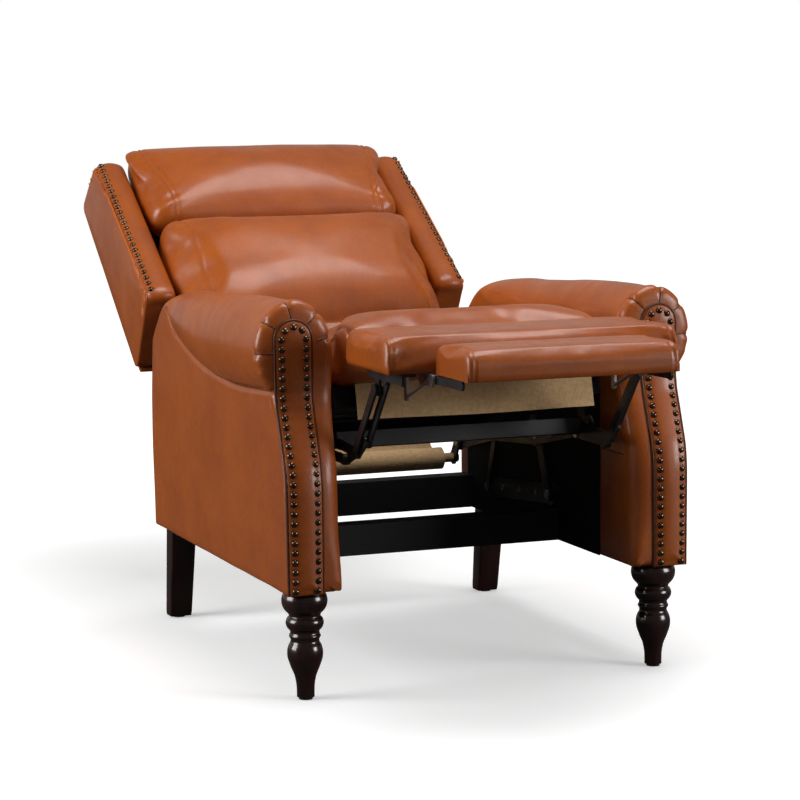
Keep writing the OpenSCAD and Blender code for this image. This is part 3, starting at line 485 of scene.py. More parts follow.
def build_wear(graph, source):
    """Uneven polish and dust, as a mask."""
    broad = graph.noise(source["Vector"], 18.0, 4.0)
    fine = graph.noise(source["Vector"], 210.0, 2.0)
    return {"Mask": graph.math("ADD", graph.spread(broad, 0.35, 0.65, 0.0, 0.6),
                               graph.spread(fine, 0.3, 0.7, 0.0, 0.4))}


def opaque(colour, factor=1.0):
    return (*(min(1.0, part * factor) for part in colour), 1.0)


def new_material(name, base, shading):
    """A material whose shader values come from a function of its graph and its Object coordinates."""
    material = bpy.data.materials.new(name)
    material.use_nodes = True
    material.diffuse_color = opaque(base)
    graph = Graph(material.node_tree)
    where = graph.add("ShaderNodeTexCoord").outputs["Object"]
    shader = graph.add("ShaderNodeBsdfPrincipled", shading(graph, where))
    graph.add("ShaderNodeOutputMaterial", {0: shader.outputs[0]})


def patterned_material(name, effect, colour, shade, own, bump, values):
    """Colour, height and any roughness from one shared effect, and the other shader values as given."""

    def shading(graph, where):
        out = graph.add("ShaderNodeGroup", {"Vector": where, "Colour": colour, "Shade": shade, **own},
                        node_tree=effect).outputs
        strength, distance = bump
        normal = graph.out("ShaderNodeBump", {"Height": out["Height"], "Strength": strength,
                                              "Distance": distance})
        rough = {"Roughness": out["Roughness"]} if "Roughness" in out else {}
        return {"Base Color": out["Colour"], "Normal": normal, **rough, **values}

    new_material(name, colour[:3], shading)


def metal_material(name, effect, colour, worn, metallic, low, high):
    """Metal or plastic whose tone and roughness follow the uneven polish."""

    def shading(graph, where):
        mask = graph.add("ShaderNodeGroup", {"Vector": where}, node_tree=effect).outputs["Mask"]
        return {"Base Color": graph.mix(mask, opaque(colour), opaque(worn)),
                "Roughness": graph.spread(mask, 0.0, 1.0, low, high), "Metallic": metallic}

    new_material(name, colour, shading)


BLACK, DEEP_BLACK = (0.006, 0.0055, 0.0055), (0.003, 0.003, 0.003)
# Factor on the leather colour, the tone used as shade and its factor, added roughness, grain, coat, depth
LEATHERS = {
    "Cognac leather": (1.0, "shade", 1.0, 0.0, 430.0, 0.3, 0.0010),
    # Welt leather is the leather colour at a fifth: painted shade of the creases and seams its tubes lie in
    "Welt leather": (0.2, "shade", 0.24, 0.12, 900.0, 0.1, 0.0003),
    "Piping leather": (1.15, "colour", 1.0, 0.0, 900.0, 0.2, 0.0003),
    "Stitch thread": (1.5, "colour", 1.0, 0.27, 900.0, 0.0, 0.0001),
}
# Colour, shade, roughness, stretch of the figure, coat
WOODS = {
    "Espresso wood": ((0.032, 0.0075, 0.005), (0.008, 0.0022, 0.0018), 0.22, (1, 1, 0.12), 0.6),
    "Plain wood": ((0.52, 0.34, 0.17), (0.36, 0.21, 0.1), 0.6, (1, 0.1, 1), 0.0),
    "Black wood": (BLACK, DEEP_BLACK, 0.7, (0.1, 1, 1), 0.0),
}
# Colour, shade, threads per metre, sheen
CLOTHS = {
    "Tan cloth": ((0.74, 0.49, 0.25), (0.44, 0.28, 0.135), 420.0, 0.15),
    "Black lining": (BLACK, DEEP_BLACK, 500.0, 0.0),
}
# Colour, worn colour, metallic, least and greatest roughness
METALS = {
    "Black steel": ((0.006, 0.006, 0.0065), (0.014, 0.014, 0.015), 0.0, 0.3, 0.5),
    "Zinc steel": ((0.52, 0.52, 0.53), (0.36, 0.36, 0.37), 0.95, 0.22, 0.42),
    "Black plastic": ((0.012, 0.012, 0.012), (0.02, 0.02, 0.02), 0.0, 0.4, 0.6),
    "Antique bronze": ((0.07, 0.037, 0.022), (0.17, 0.11, 0.07), 0.95, 0.14, 0.3),
}
CAD_FINISHES = {
    "Plain wood": ("arm_frame_left", "arm_frame_right"),
    "Cognac leather": ("ottoman_board", "flipper_board"),
    "Black wood": ("rear_rail", "middle_rail", "back_frame", "seat_frame"),
    "Black lining": ("inner_lining_left", "inner_lining_right"),
    "Black plastic": ("leg_glides",),
    "Zinc steel": ("leg_bolts", "mounting_screws", "base_rivets", "seat_rivets", "flipper_support_left",
                   "flipper_support_right", "return_spring_left", "return_spring_right"),
}


class RECLINER_OT_materials(Step, bpy.types.Operator):
    """Makes every material and gives the CAD nodes theirs"""
    bl_idname = "recliner.materials"
    bl_label = "Make Materials"

    def make(self):
        look = settings().leather
        leather = shared_effect("Leather Look", build_leather,
                                {**TONES, "Roughness": (VALUE, 0.4), "Grain": (VALUE, 600.0)},
                                {"Colour": RGB, "Roughness": VALUE, "Height": VALUE})
        figure = shared_effect("Wood Figure", build_figure, {**TONES, "Stretch": (VECTOR, (1, 1, 1))},
                               {"Colour": RGB, "Height": VALUE})
        weave = shared_effect("Plain Weave", build_weave, {**TONES, "Threads": (VALUE, 600.0)},
                              {"Colour": RGB, "Height": VALUE})
        wear = shared_effect("Uneven Polish", build_wear, {}, {"Mask": VALUE})
        for name, (factor, base, shade_factor, added, grain, coat, depth) in LEATHERS.items():
            patterned_material(name, leather, opaque(look.colour, factor),
                               opaque(getattr(look, base), shade_factor),
                               {"Roughness": look.roughness + added, "Grain": grain}, (0.5, depth),
                               {"Coat Weight": coat, "Coat Roughness": 0.2, "IOR": 1.45})
        for name, (colour, shade, roughness, stretch, coat) in WOODS.items():
            patterned_material(name, figure, opaque(colour), opaque(shade), {"Stretch": stretch},
                               (0.12, 0.0004),
                               {"Roughness": roughness, "Coat Weight": coat, "Coat Roughness": 0.12})
        for name, (colour, shade, threads, sheen) in CLOTHS.items():
            patterned_material(name, weave, opaque(colour), opaque(shade), {"Threads": threads},
                               (0.5, 0.0003),
                               {"Roughness": 0.85, "Sheen Weight": sheen, "Specular IOR Level": 0.25})
        for name, values in METALS.items():
            metal_material(name, wear, *values)
        node_finish = {node: finish for finish, nodes in CAD_FINISHES.items() for node in nodes}
        for name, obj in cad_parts.items():
            obj.data.materials.clear()
            obj.data.materials.append(bpy.data.materials[node_finish.get(name, "Black steel")])


# Repeated trim by Geometry Nodes

ROW_INPUTS = {"Pitch": VALUE, "Radius": VALUE, "Height": VALUE, "Material": "NodeSocketMaterial"}
NAIL_SHAPE = {"Segments": 12, "Rings": 6}
STITCH_SHAPE = {"Segments": 6, "Rings": 4}
STITCH_RADIUS, STITCH_HALF_LENGTH = 0.0007, 0.0022


def row_tree(name, shape):
    """A node tree that sets small rounded shapes along a path, each turned to the facing stored there."""
    tree = bpy.data.node_groups.new(name, "GeometryNodeTree")
    ids = {}
    for label, kind in {"Geometry": "NodeSocketGeometry", **ROW_INPUTS}.items():
        ids[label] = tree.interface.new_socket(name=label, in_out="INPUT", socket_type=kind).identifier
    tree.interface.new_socket(name="Geometry", in_out="OUTPUT", socket_type="NodeSocketGeometry")
    graph = Graph(tree)
    source = graph.add("NodeGroupInput").outputs
    curve = graph.out("GeometryNodeMeshToCurve", {0: source["Geometry"]})
    spaced = graph.out("GeometryNodeResampleCurve", {"Curve": curve, "Length": source["Pitch"]},
                       mode="LENGTH")
    ball = graph.out("GeometryNodeMeshUVSphere", {**shape, "Radius": 1.0})
    smooth = graph.out("GeometryNodeSetShadeSmooth", {0: ball})
    size = graph.out("ShaderNodeCombineXYZ", {0: source["Radius"], 1: source["Radius"], 2: source["Height"]})
    facing = graph.out("GeometryNodeInputNamedAttribute", {"Name": "facing"}, data_type="FLOAT_VECTOR")
    turned = graph.out("FunctionNodeAlignRotationToVector", {"Vector": facing}, axis="Z")
    shapes = graph.out("GeometryNodeInstanceOnPoints", {"Points": spaced, "Instance": smooth,
                                                        "Rotation": turned, "Scale": size})
    real = graph.out("GeometryNodeRealizeInstances", {0: shapes})
    coloured = graph.out("GeometryNodeSetMaterial", {"Geometry": real, "Material": source["Material"]})
    graph.add("NodeGroupOutput", {0: coloured})
    return tree, ids


def add_row(name, shape, paths, facings, body, material, sizes):
    """Nails or stitches along paths given in metres, each point with its own facing, made plain mesh."""
    edges, base = [], 0
    for path in paths:
        edges += [(base + i, base + i + 1) for i in range(len(path) - 1)]
        base += len(path)
    mesh = bpy.data.meshes.new(name + "_path")
    mesh.from_pydata([tuple(p) for p in np.vstack(paths)], edges, [])
    stored = mesh.attributes.new("facing", "FLOAT_VECTOR", "POINT")
    stored.data.foreach_set("vector", np.vstack(facings).astype(float).ravel())
    carrier = linked_object(name + "_path", mesh)
    tree, ids = row_tree(name + "_nodes", shape)
    modifier = carrier.modifiers.new("Row", "NODES")
    modifier.node_group = tree
    for label, value in zip(ROW_INPUTS, (*sizes, bpy.data.materials[material])):
        modifier[ids[label]] = value
    take_result(carrier)
    made = carrier.data
    bpy.data.objects.remove(carrier)
    if not len(made.polygons):
        raise RuntimeError("no shapes were made for " + name)
    smooth_faces(made)
    if not made.materials:
        made.materials.append(bpy.data.materials[material])
    carried(linked_object(name, made), body)


def add_nails(name, path, facings, body, pitch):
    trim = settings().trim
    add_row(name, NAIL_SHAPE, [path], [facings], body, "Antique bronze",
            (pitch, trim.nail_radius, trim.nail_height))


def add_stitches(name, paths, body):
    along = [np.gradient(path, axis=0) for path in paths]
    add_row(name, STITCH_SHAPE, paths, along, body, "Stitch thread",
            (settings().trim.stitch_pitch, STITCH_RADIUS, STITCH_HALF_LENGTH))


def traced(obj, starts, ways, lift=0.4):
    """Points in a piece's own millimetres where straight lines first meet it."""
    mesh = obj.data
    tree = BVHTree.FromPolygons([v.co for v in mesh.vertices], [p.vertices for p in mesh.polygons])
    found = []
    for start, way in zip(starts, ways):
        hit, normal = tree.ray_cast(Vector(start) * MM, Vector(way))[:2]
        if hit is None:
            raise RuntimeError("a seam line misses " + obj.name)
        found.append(np.array(hit + normal * lift * MM) / MM)
    return smooth_path(found, 3)


# Padded pieces, filled as cloth

CLOTH_SETTINGS = {"quality": 4, "mass": 0.4, "tension_stiffness": 12.0, "compression_stiffness": 8.0,
                  "shear_stiffness": 6.0, "bending_stiffness": 4.0, "use_pressure": True}
SMOOTHING_GAIN, SMOOTHING_LOSS = 0.6, -0.63


def remeshed(obj, voxel):
    remesh = obj.modifiers.new("Voxels", "REMESH")
    remesh.mode = "VOXEL"
    remesh.voxel_size = voxel
    take_result(obj)


def blown_up(obj, held_below):
    """Runs the cloth simulation with the piece's base held."""
    cushion, scene = settings().cushion, bpy.context.scene
    group = obj.vertex_groups.new(name="Held")
    for index in np.nonzero(coordinates(obj)[:, 2] / MM < held_below)[0]:
        group.add([int(index)], 1.0, "REPLACE")
    cloth = obj.modifiers.new("Cloth", "CLOTH")
    own = cloth.settings
    for key, value in CLOTH_SETTINGS.items():
        setattr(own, key, value)
    own.uniform_pressure_force = cushion.pressure
    own.effector_weights.gravity = 0.0
    own.vertex_group_mass = group.name
    cloth.collision_settings.use_collision = False
    cloth.point_cache.frame_start = 1
    cloth.point_cache.frame_end = cushion.frames
    for number in range(1, cushion.frames + 1):
        scene.frame_set(number)
    take_result(obj)
    scene.frame_set(1)
    obj.vertex_groups.clear()


def filled(obj, cap, voxel, held_below, passes=36):
    """Fills a closed mesh like a cushion: remeshed, blown up as cloth, and moved by cap metres at most."""
    remeshed(obj, voxel)
    start = coordinates(obj)
    blown_up(obj, held_below)
    move = coordinates(obj) - start
    length = np.linalg.norm(move, axis=1)
    move *= (np.minimum(length, cap) / np.maximum(length, 1e-9))[:, None]
    set_coordinates(obj, start + move)
    eased_out(obj, passes)


def eased_out(obj, passes):
    """Smooths small wrinkles away and keeps the volume."""
    p = coordinates(obj)
    pairs = np.empty(len(obj.data.edges) * 2, np.int64)
    obj.data.edges.foreach_get("vertices", pairs)
    pairs = pairs.reshape(-1, 2)
    count = np.maximum(np.bincount(pairs.ravel(), minlength=len(p)), 1)[:, None]
    for step in range(2 * passes):
        total = np.zeros_like(p)
        np.add.at(total, pairs[:, 0], p[pairs[:, 1]])
        np.add.at(total, pairs[:, 1], p[pairs[:, 0]])
        p = p + (SMOOTHING_GAIN if step % 2 == 0 else SMOOTHING_LOSS) * (total / count - p)
    set_coordinates(obj, p)


def subdivided(obj):
    surface = obj.modifiers.new("Finer", "SUBSURF")
    surface.levels = surface.render_levels = 1
    take_result(obj)
    smooth_faces(obj.data)


def ring_at(a, b, z, power, count=180):
    """A rounded rectangle of points at one height."""
    t = -FULL_TURN * np.arange(count) / count
    x = a * np.sign(np.cos(t)) * np.abs(np.cos(t)) ** (2 / power)
    y = b * np.sign(np.sin(t)) * np.abs(np.sin(t)) ** (2 / power)
    return np.stack([x, y, np.full(count, z)], -1)


def cushion_rings(half_w, half_l, height, edge, crown, power, middle=3.0):
    """A cushion on the plane z = 0 with a flat base, swelling sides and a crowned top."""
    side_h = height - crown
    rings = []
    for i in range(13):
        a = -QUARTER_TURN + HALF_TURN * i / 12
        inset = edge * (1 - math.cos(a)) / 2
        rings.append(ring_at(half_w - inset, half_l - inset, side_h * (1 + math.sin(a)) / 2, power))
    core_w, core_l = half_w - edge / 2, half_l - edge / 2
    for s in np.linspace(0.06, 0.97, 14):
        rings.append(ring_at(core_w * (1 - s), core_l * (1 - s), side_h + crown * (1 - (1 - s) ** 2),
                             power - s * (power - middle)))
    return np.array(rings)


def padded_piece(name, rings, cap, voxel, held_below, shape, passes=36):
    """A filled piece in its own millimetres; shape turns its points and normals into its final points."""
    points = rings.reshape(-1, 3) * MM
    obj = add_mesh(name, points, loft_faces(*rings.shape[:2]), "Cognac leather")
    bpy.context.view_layer.objects.active = obj
    filled(obj, cap, voxel, held_below, passes)
    subdivided(obj)
    normals = coordinates(obj, "normal")
    set_coordinates(obj, shape(coordinates(obj) / MM, normals) * MM)
    return obj


def finish_padded(obj, place, body, node, stitches, seams):
    """Sets a padded piece and its stitches on a body, in place of its CAD node."""
    set_coordinates(obj, placed(place(coordinates(obj) / MM)))
    obj.data.materials.clear()
    obj.data.materials.append(bpy.data.materials["Cognac leather"])
    smooth_faces(obj.data)
    carried(obj, body)
    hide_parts(node)
    add_stitches(stitches, [placed(place(seam)) for seam in seams], body)


# Arms

ARM_STATIONS = (0.0, 0.058, 0.09, 0.17, 0.36, 0.54, 0.65, 0.71, 0.77, 0.82, 0.87, 0.91, 0.95, 0.985, 1.0)
ARM_TOPS = (0.96, 0.96, 0.96, 0.96, 0.93, 0.84, 0.80, 0.79, 0.76, 0.73, 0.67, 0.56, 0.34, 0.12, 0.0)
ARM_SEAMS = (0.35, 0.35, 0.33, 0.31, 0.27, 0.35, 0.50, 0.60, 0.73, 0.86, 1.14, 1.03, 0.81, 0.60, 0.47)
ARM_OVERHANGS = (1.0, 1.0, 1.0, 1.0, 0.96, 0.86, 0.72, 0.55, 0.36, 0.14, 0.0, 0.0, 0.0, 0.0, 0.0)
SEAM_LOW = 0.68
BOTTOM_POINTS, SIDE_POINTS, ROLL_POINTS, INNER_POINTS = 9, 84, 103, 23
FRONT_RINGS, FACE_RINGS = 20, 5
FRONT_ROUNDING, REAR_ROUNDING, FRONT_ZONE = 27.0, 4.0, 52.0
STEP_HEIGHTS = (0.0, 0.30, 0.37, 0.434, 0.50, 0.564, 0.63, 0.68, 1.1)
STEP_SHARES = (0.0, 0.0, 0.03, 0.14, 0.39, 0.64, 0.90, 1.0, 1.0)
STEP_REACH = 190.0
CREASE_Y = (-400, -366, -276, -135, 0, 32, 80, 130, 171, 221, 236, 246)
CREASE_Z = (487, 487, 483, 478, 487, 490, 500, 513, 526, 546, 566, 588)
CREASE = {"depth": 5.0, "width": 3.6, "end": 246}
FOLD_ANGLES = (-2, 38, 80, 130, 165)
FOLD = {"depth": 4.2, "width": 4.5, "fullness": 3.8}
GROOVE = {"behind": 41, "depth": 2.6, "width": 3.0}
GATHER_DEPTH = 1.6
ARM_WRINKLES = {"size": 95.0, "amount": 1.5}
SEAM_RADIUS = 1.2
INNER_SEAM = {"y": (-362, -272), "z": 355.0, "radius": 1.0}
# How far the front is rounded off: at the low edge, more at the roll, and most on the inner side
INNER_ROUNDING, LOW_EDGE_ROUNDING, LOW_SHARE = 26, 6, 0.35
# Share of the way from the arm's front edge to its middle, and how far back that ring stands
FACE_STEPS = ((0.8, 34.0), (0.7, 12.0), (0.5, -0.6), (0.3, -0.4), (0.12, -0.2))


def step_back(z):
    """How far the arm's front stands back at a height."""
    share = (np.asarray(z, float) - ARM["bottom"]) / (ARM["top"] - ARM["bottom"])
    return ARM["setback"] * np.clip(curve_through(STEP_HEIGHTS, STEP_SHARES, share), 0, 1)


def stepped(points):
    """Moves points near the arm's front back, as the front steps back beside the seat."""
    p = np.array(points, float)
    share = np.clip(1 - (p[..., 1] - ARM["front"]) / STEP_REACH, 0, 1.2)
    p[..., 1] += step_back(p[..., 2]) * share ** 1.6
    return p


def front_facing(z):
    """The way the arm's front faces at each height."""
    lean = (step_back(z + 1.0) - step_back(z - 1.0)) / 2.0
    facing = np.stack([np.zeros(len(z)), -np.ones(len(z)), lean], -1)
    return facing / np.linalg.norm(facing, axis=1)[:, None]


def arm_section(y):
    """The arm's outline at one y: bottom, outer side, roll, inner side. Also how rolled each point is."""
    f = (y - ARM["front"]) / ARM["depth"]
    rise = ARM["top"] - ARM["rear_top"]
    top = ARM["rear_top"] + rise * curve_through(ARM_STATIONS, ARM_TOPS, [f])[0]
    over = ARM["over"] * max(0.0, curve_through(ARM_STATIONS, ARM_OVERHANGS, [f])[0])
    seam = ARM["rear_top"] + rise * (curve_through(ARM_STATIONS, ARM_SEAMS, [f])[0] - SEAM_LOW)
    outer = ARM["inner"] + ARM["width"]
    half = (ARM["width"] + over) / 2
    mid = ARM["inner"] + half
    dip = math.sqrt(max(0.0, 1 - ((outer - mid) / half) ** 2))
    tall = (top - seam) / (1 + dip)
    centre = top - tall
    low, inner, edge, bevel, belly = ARM["bottom"], ARM["inner"], 4.0, 1.2, 2.5
    flat = np.linspace(inner + edge, outer - edge, BOTTOM_POINTS)
    side = low + edge + (seam - low - edge) * np.linspace(0, 1, SIDE_POINTS) ** 0.8
    angles = np.linspace(-math.asin(dip), HALF_TURN, ROLL_POINTS + 1)[1:]
    down = np.linspace(centre, low + edge, INNER_POINTS + 1)[1:]
    points = ([(x, low) for x in flat] + [(outer - bevel, low + bevel)]
              + [(outer + belly * math.sin(HALF_TURN * (z - low) / (seam - low)), z) for z in side]
              + [(mid + half * math.cos(a), centre + tall * math.sin(a)) for a in angles]
              + [(inner, z) for z in down] + [(inner + bevel, low + bevel)])
    rolled = np.concatenate([np.zeros(BOTTOM_POINTS + 1), eased(np.linspace(0, 1, SIDE_POINTS), 0.86, 1.0),
                             np.ones(ROLL_POINTS), eased(down, 380, centre), [0.0]])
    angle = np.concatenate([np.full(BOTTOM_POINTS + 1, -90.0), np.full(SIDE_POINTS, -60.0),
                            np.degrees(angles), np.full(INNER_POINTS + 1, 200.0)])
    return np.array(points), rolled, angle


def arm_inset(y, outline, rolled, angle):
    """How far the skin lies inside the outline at one y: rounded ends, folds, groove, gathers and crease."""
    front, rear = ARM["front"], ARM["front"] + ARM["depth"]
    across, up = outline[:, 0], outline[:, 1]
    low_part = LOW_SHARE + (1 - LOW_SHARE) * eased(up, ARM["bottom"] + 8, ARM["bottom"] + 110)
    inward_side = eased(across, 300, 262) * (1 - rolled) * low_part
    span = LOW_EDGE_ROUNDING + (FRONT_ROUNDING - LOW_EDGE_ROUNDING) * rolled + INNER_ROUNDING * inward_side
    depth = np.clip((front + span - y) / span, 0, 1)
    power = 2.0 + 0.7 * rolled
    inset = span * (1 - np.clip(1 - depth ** power, 0, 1) ** (1 / power))
    back = np.clip((y - (rear - REAR_ROUNDING)) / REAR_ROUNDING, 0, 1)
    inset = inset + REAR_ROUNDING * (1 - math.sqrt(1 - min(back, 0.999) ** 2))
    near = sum(bump_at(angle, fold, FOLD["width"]) for fold in FOLD_ANGLES)
    inset = inset + (FOLD["depth"] * near - FOLD["fullness"]) * eased(y, front + 42, front + 30) * rolled
    inset = inset + GROOVE["depth"] * bump_at(y, front + GROOVE["behind"], GROOVE["width"]) * rolled
    gather = np.abs(np.sin(np.radians(angle * 7.0))) * eased(angle, -6, -20) * eased(angle, -59, -50)
    inset = inset + GATHER_DEPTH * gather * eased(y, front + 50, front + 4) * rolled
    crease = curve_through(CREASE_Y, CREASE_Z, [min(y, CREASE["end"])])[0]
    outside = (across > ARM["inner"] + 40) & (up < crease + 40)
    return inset + CREASE["depth"] * bump_at(up, crease, CREASE["width"]) * outside * eased(y, 252, 240)


def arm_skin():
    """Rings of the upholstered arm, with a full, seamed front and a soft rear edge."""
    front, rear = ARM["front"], ARM["front"] + ARM["depth"]
    start = [front + FRONT_ROUNDING * (1 - math.cos(a)) for a in np.linspace(0.06, QUARTER_TURN, FRONT_RINGS)]
    ys = np.concatenate([start, np.linspace(front + FRONT_ROUNDING, front + FRONT_ZONE, 17)[1:],
                         np.linspace(front + FRONT_ZONE, rear - REAR_ROUNDING, 80)[1:],
                         rear - REAR_ROUNDING + REAR_ROUNDING * np.sin(np.linspace(0, QUARTER_TURN, 5)[1:])])
    rings = []
    for y in ys:
        outline, rolled, angle = arm_section(y)
        inset = arm_inset(y, outline, rolled, angle)
        rings.append(at_y(y, outline - outline_normals(outline) * inset[:, None]))
    face = rings[0]
    middle = np.stack([np.clip(face[:, 0], 300, 316), face[:, 1], np.clip(face[:, 2], 205, 560)], -1)
    inner_rings = [face + (middle - face) * share + np.array([0, back, 0]) for share, back in FACE_STEPS]
    return stepped(np.concatenate([inner_rings, rings]))


def front_seams(rings):
    """Paths of the sewn folds that fan out over the front of the roll, on the skin itself."""
    angle = arm_section(ARM["front"])[2]
    reach = slice(FACE_RINGS, FACE_RINGS + FRONT_RINGS + 9)
    return [smooth_path(rings[reach, int(np.argmin(np.abs(angle - fold)))], 2) for fold in FOLD_ANGLES]


def outer_skin_at(rings, y, z):
    """The skin's x at a height on its outer side."""
    side_point = 60
    ring = rings[int(np.argmin(np.abs(rings[:, side_point, 1] - y)))]
    side = ring[ring[:, 0] > 300]
    return float(side[np.argmin(np.abs(side[:, 2] - z)), 0])


def wrinkled(rings, size, amount, seed):
    """Adds soft unevenness square to a closed ring's own plane."""
    out = rings.copy()
    for ring in out:
        ring[:, [0, 2]] += outline_normals(ring[:, [0, 2]]) * (wavy(ring, size, seed) * amount)[:, None]
    return out


class RECLINER_OT_arms(Step, bpy.types.Operator):
    """Makes the two upholstered arms with their rolled tops, creases and seams"""
    bl_idname = "recliner.arms"
    bl_label = "Make Arms"

    def make(self):
        rings = arm_skin()
        inside = rings[..., 0] > ARM["inner"] + 6
        line_y = np.linspace(-330, 240, 90)
        line_z = curve_through(CREASE_Y, CREASE_Z, line_y)
        for side in SIDES:
            name = side_name(side)
            soft = wrinkled(rings, seed=3 + side, **ARM_WRINKLES)
            soft = np.where(inside[..., None], soft, rings)
            obj = add_loft("arm_skin_" + name, mirrored(soft, side), "base", "Cognac leather", 50)
            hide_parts("arm_cover_" + name)
            roll = [(side * (outer_skin_at(soft, y, z) + 0.2), y, z) for y, z in zip(line_y, line_z)]
            low = [(side * (ARM["inner"] - 0.2), y, INNER_SEAM["z"])
                   for y in np.linspace(*INNER_SEAM["y"], 12)]
            # The dark welt tubes paint the shade in the roll's crease, along the inner seam and in the sewn
            # folds of the front
            add_tube("arm_roll_seam_" + name, smooth_path(roll), SEAM_RADIUS, "base", "Welt leather")
            add_tube("arm_inner_seam_" + name, low, INNER_SEAM["radius"], "base", "Welt leather", 6)
            for number, fan in enumerate(front_seams(soft), 1):
                add_tube("arm_front_seam_%d_%s" % (number, name), mirrored(fan, side), SEAM_RADIUS, "base",
                         "Welt leather")


# Front panels of the arms

PANEL = {"low": 173.0, "spring": 568.0, "top": 597.0, "low_out": 340.4, "low_in": 286.2, "out": 343.4,
         "in": 284.8}
# Share of the way to the panel's middle, and how far the face stands out there
PANEL_PROFILE = ((0.0, 0.0), (-0.01, 2.0), (0.03, 4.4), (0.1, 5.6), (0.2, 6.2), (0.3, 6.3), (0.38, 7.0),
                 (0.48, 8.3), (0.62, 9.4), (0.8, 10.0), (0.94, 10.2))
NAIL_ROW = {"share": 0.32, "stands_out": 6.4, "above_low": 7}
PANEL_WELT = {"out": 1.2, "stands_out": 1.4, "points": 170}


def panel_outline():
    """The front panel's outline in x and z, and its part up the outer edge, over the top and down."""
    low, spring, top = PANEL["low"], PANEL["spring"], PANEL["top"]
    rise = np.linspace(0, 1, 60)
    up, down = (np.stack([PANEL["low_" + key] + (PANEL[key] - PANEL["low_" + key]) * rise,
                          low + (spring - low) * rise], -1) for key in ("out", "in"))
    mid, half = (PANEL["out"] + PANEL["in"]) / 2, (PANEL["out"] - PANEL["in"]) / 2
    arc = [(mid + half * math.cos(t), spring + (top - spring) * math.sin(t))
           for t in np.linspace(0, HALF_TURN, 26)[1:-1]]
    sides = np.vstack([up, arc, down[::-1]])
    bottom = np.stack([np.linspace(sides[-1][0], sides[0][0], 14)[1:-1], np.full(12, low)], -1)
    return resampled(np.vstack([sides, bottom]), 300, closed=True), sides


class RECLINER_OT_panels(Step, bpy.types.Operator):
    """Makes the padded front panel of each arm, its welt and its row of nails"""
    bl_idname = "recliner.panels"
    bl_label = "Make Front Panels"

    def make(self):
        trim = settings().trim
        outline, sides = panel_outline()
        count, front = len(outline), ARM["front"]
        mid = (PANEL["out"] + PANEL["in"] + PANEL["low_out"] + PANEL["low_in"]) / 4
        heights = np.clip(outline[:, 1], PANEL["low"] + 24, PANEL["spring"])
        middle = np.stack([np.full(count, mid), heights], -1)
        rings = stepped([at_y(front + 0.2 - height, outline + (middle - outline) * share)
                         for share, height in PANEL_PROFILE])
        faces = loft_faces(len(rings), count, True, False)
        faces += strip_cap((len(rings) - 1) * count, count, int(np.argmax(outline[:, 1])))
        row = self.nail_path(outline, middle, sides)
        line = resampled(sides + outward(sides, PANEL_WELT["out"]), PANEL_WELT["points"])
        welt = stepped(at_y(front - PANEL_WELT["stands_out"], line))
        for side in SIDES:
            name = side_name(side)
            obj = add_piece("arm_panel_" + name, mirrored(rings, side), faces, "base", "Cognac leather", 50)
            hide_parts("arm_front_panel_" + name)
            # The dark welt paints the shade in the seam round the panel
            add_tube("arm_panel_welt_" + name, mirrored(welt, side), trim.welt_radius / MM, "base",
                     "Welt leather")
            add_nails("arm_nails_" + name, placed(mirrored(row, side)), front_facing(row[:, 2]), "base",
                      trim.nail_pitch)

    def nail_path(self, outline, middle, sides):
        row = []
        for point in resampled(sides, 320):
            k = int(np.argmin(np.sum((outline - point) ** 2, 1)))
            x, z = outline[k] + (middle[k] - outline[k]) * NAIL_ROW["share"]
            z = max(z, PANEL["low"] + NAIL_ROW["above_low"])
            row.append((x, ARM["front"] - NAIL_ROW["stands_out"], z))
        return stepped(smooth_path(row, 3))


# Wings

WING_CORNERS = ((0.0, 0.0), (421.0, 0.0), (459.0, -128.0), (-8.0, -169.0))
WING_RADII = (16.0, 26.0, 16.0, 14.0)
WING_X = (256.0, 314.0)
WING_INNER_ROUND, WING_OUTER_ROUND = 9, 4
WING_SWELL, WING_TUCK, WING_CROWN = 9.5, 2.4, 2.6
WING_WRINKLES = {"size": 70.0, "amount": 1.1}
WING_FACE_SHARES = (0.02, 0.06, 0.14, 0.26, 0.42, 0.6, 0.8, 0.93)
WING_NAILS = {"inset": 10.5, "height": 5.2, "t": (12, 409)}
PIPING_RADIUS = 1.9


def wing_rings():
    """Rings across the wing in t and n: a full front band between a flat outer and inner side."""
    outline = resampled(rounded_outline(WING_CORNERS, WING_RADII), 300, closed=True)
    normal = outline_normals(outline)
    front = eased(outline[:, 1], -26, -3)
    centre = outline.mean(0)
    low, high = WING_X
    inner, outer = normal * WING_INNER_ROUND, normal * WING_OUTER_ROUND
    inner_face, outer_face = outline - inner, outline - outer
    quarter = np.linspace(0, QUARTER_TURN, 6)
    straight = high - low - WING_INNER_ROUND - WING_OUTER_ROUND
    rings = [(inner_face + (centre - inner_face) * (0.9 * (1 - s)), low - 0.5)
             for s in np.linspace(0.0, 1.0, 8)[:-1]]
    rings += [(outline - inner * (1 - math.sin(a)), low + WING_INNER_ROUND * (1 - math.cos(a)))
              for a in quarter]
    rings += [(outline, low + WING_INNER_ROUND + straight * v) for v in np.linspace(0, 1, 14)[1:-1]]
    rings += [(outline - outer * (1 - math.cos(a)), high - WING_OUTER_ROUND + WING_OUTER_ROUND * math.sin(a))
              for a in quarter]
    rings += [(outer_face + (centre - outer_face) * s,
               high + WING_CROWN * math.sin(min(1.0, s * 2.2) * QUARTER_TURN)) for s in WING_FACE_SHARES]
    made = []
    for at, x in rings:
        v = np.clip((x - low) / (high - low), 0, 1)
        swell = WING_SWELL * math.sin(HALF_TURN * v) ** 0.8 * front
        tuck = -WING_TUCK * bump_at(v, 0.93, 0.03) * front
        made.append(at_x(x, at + normal * (swell + tuck)[:, None]))
    return np.array(made), outline


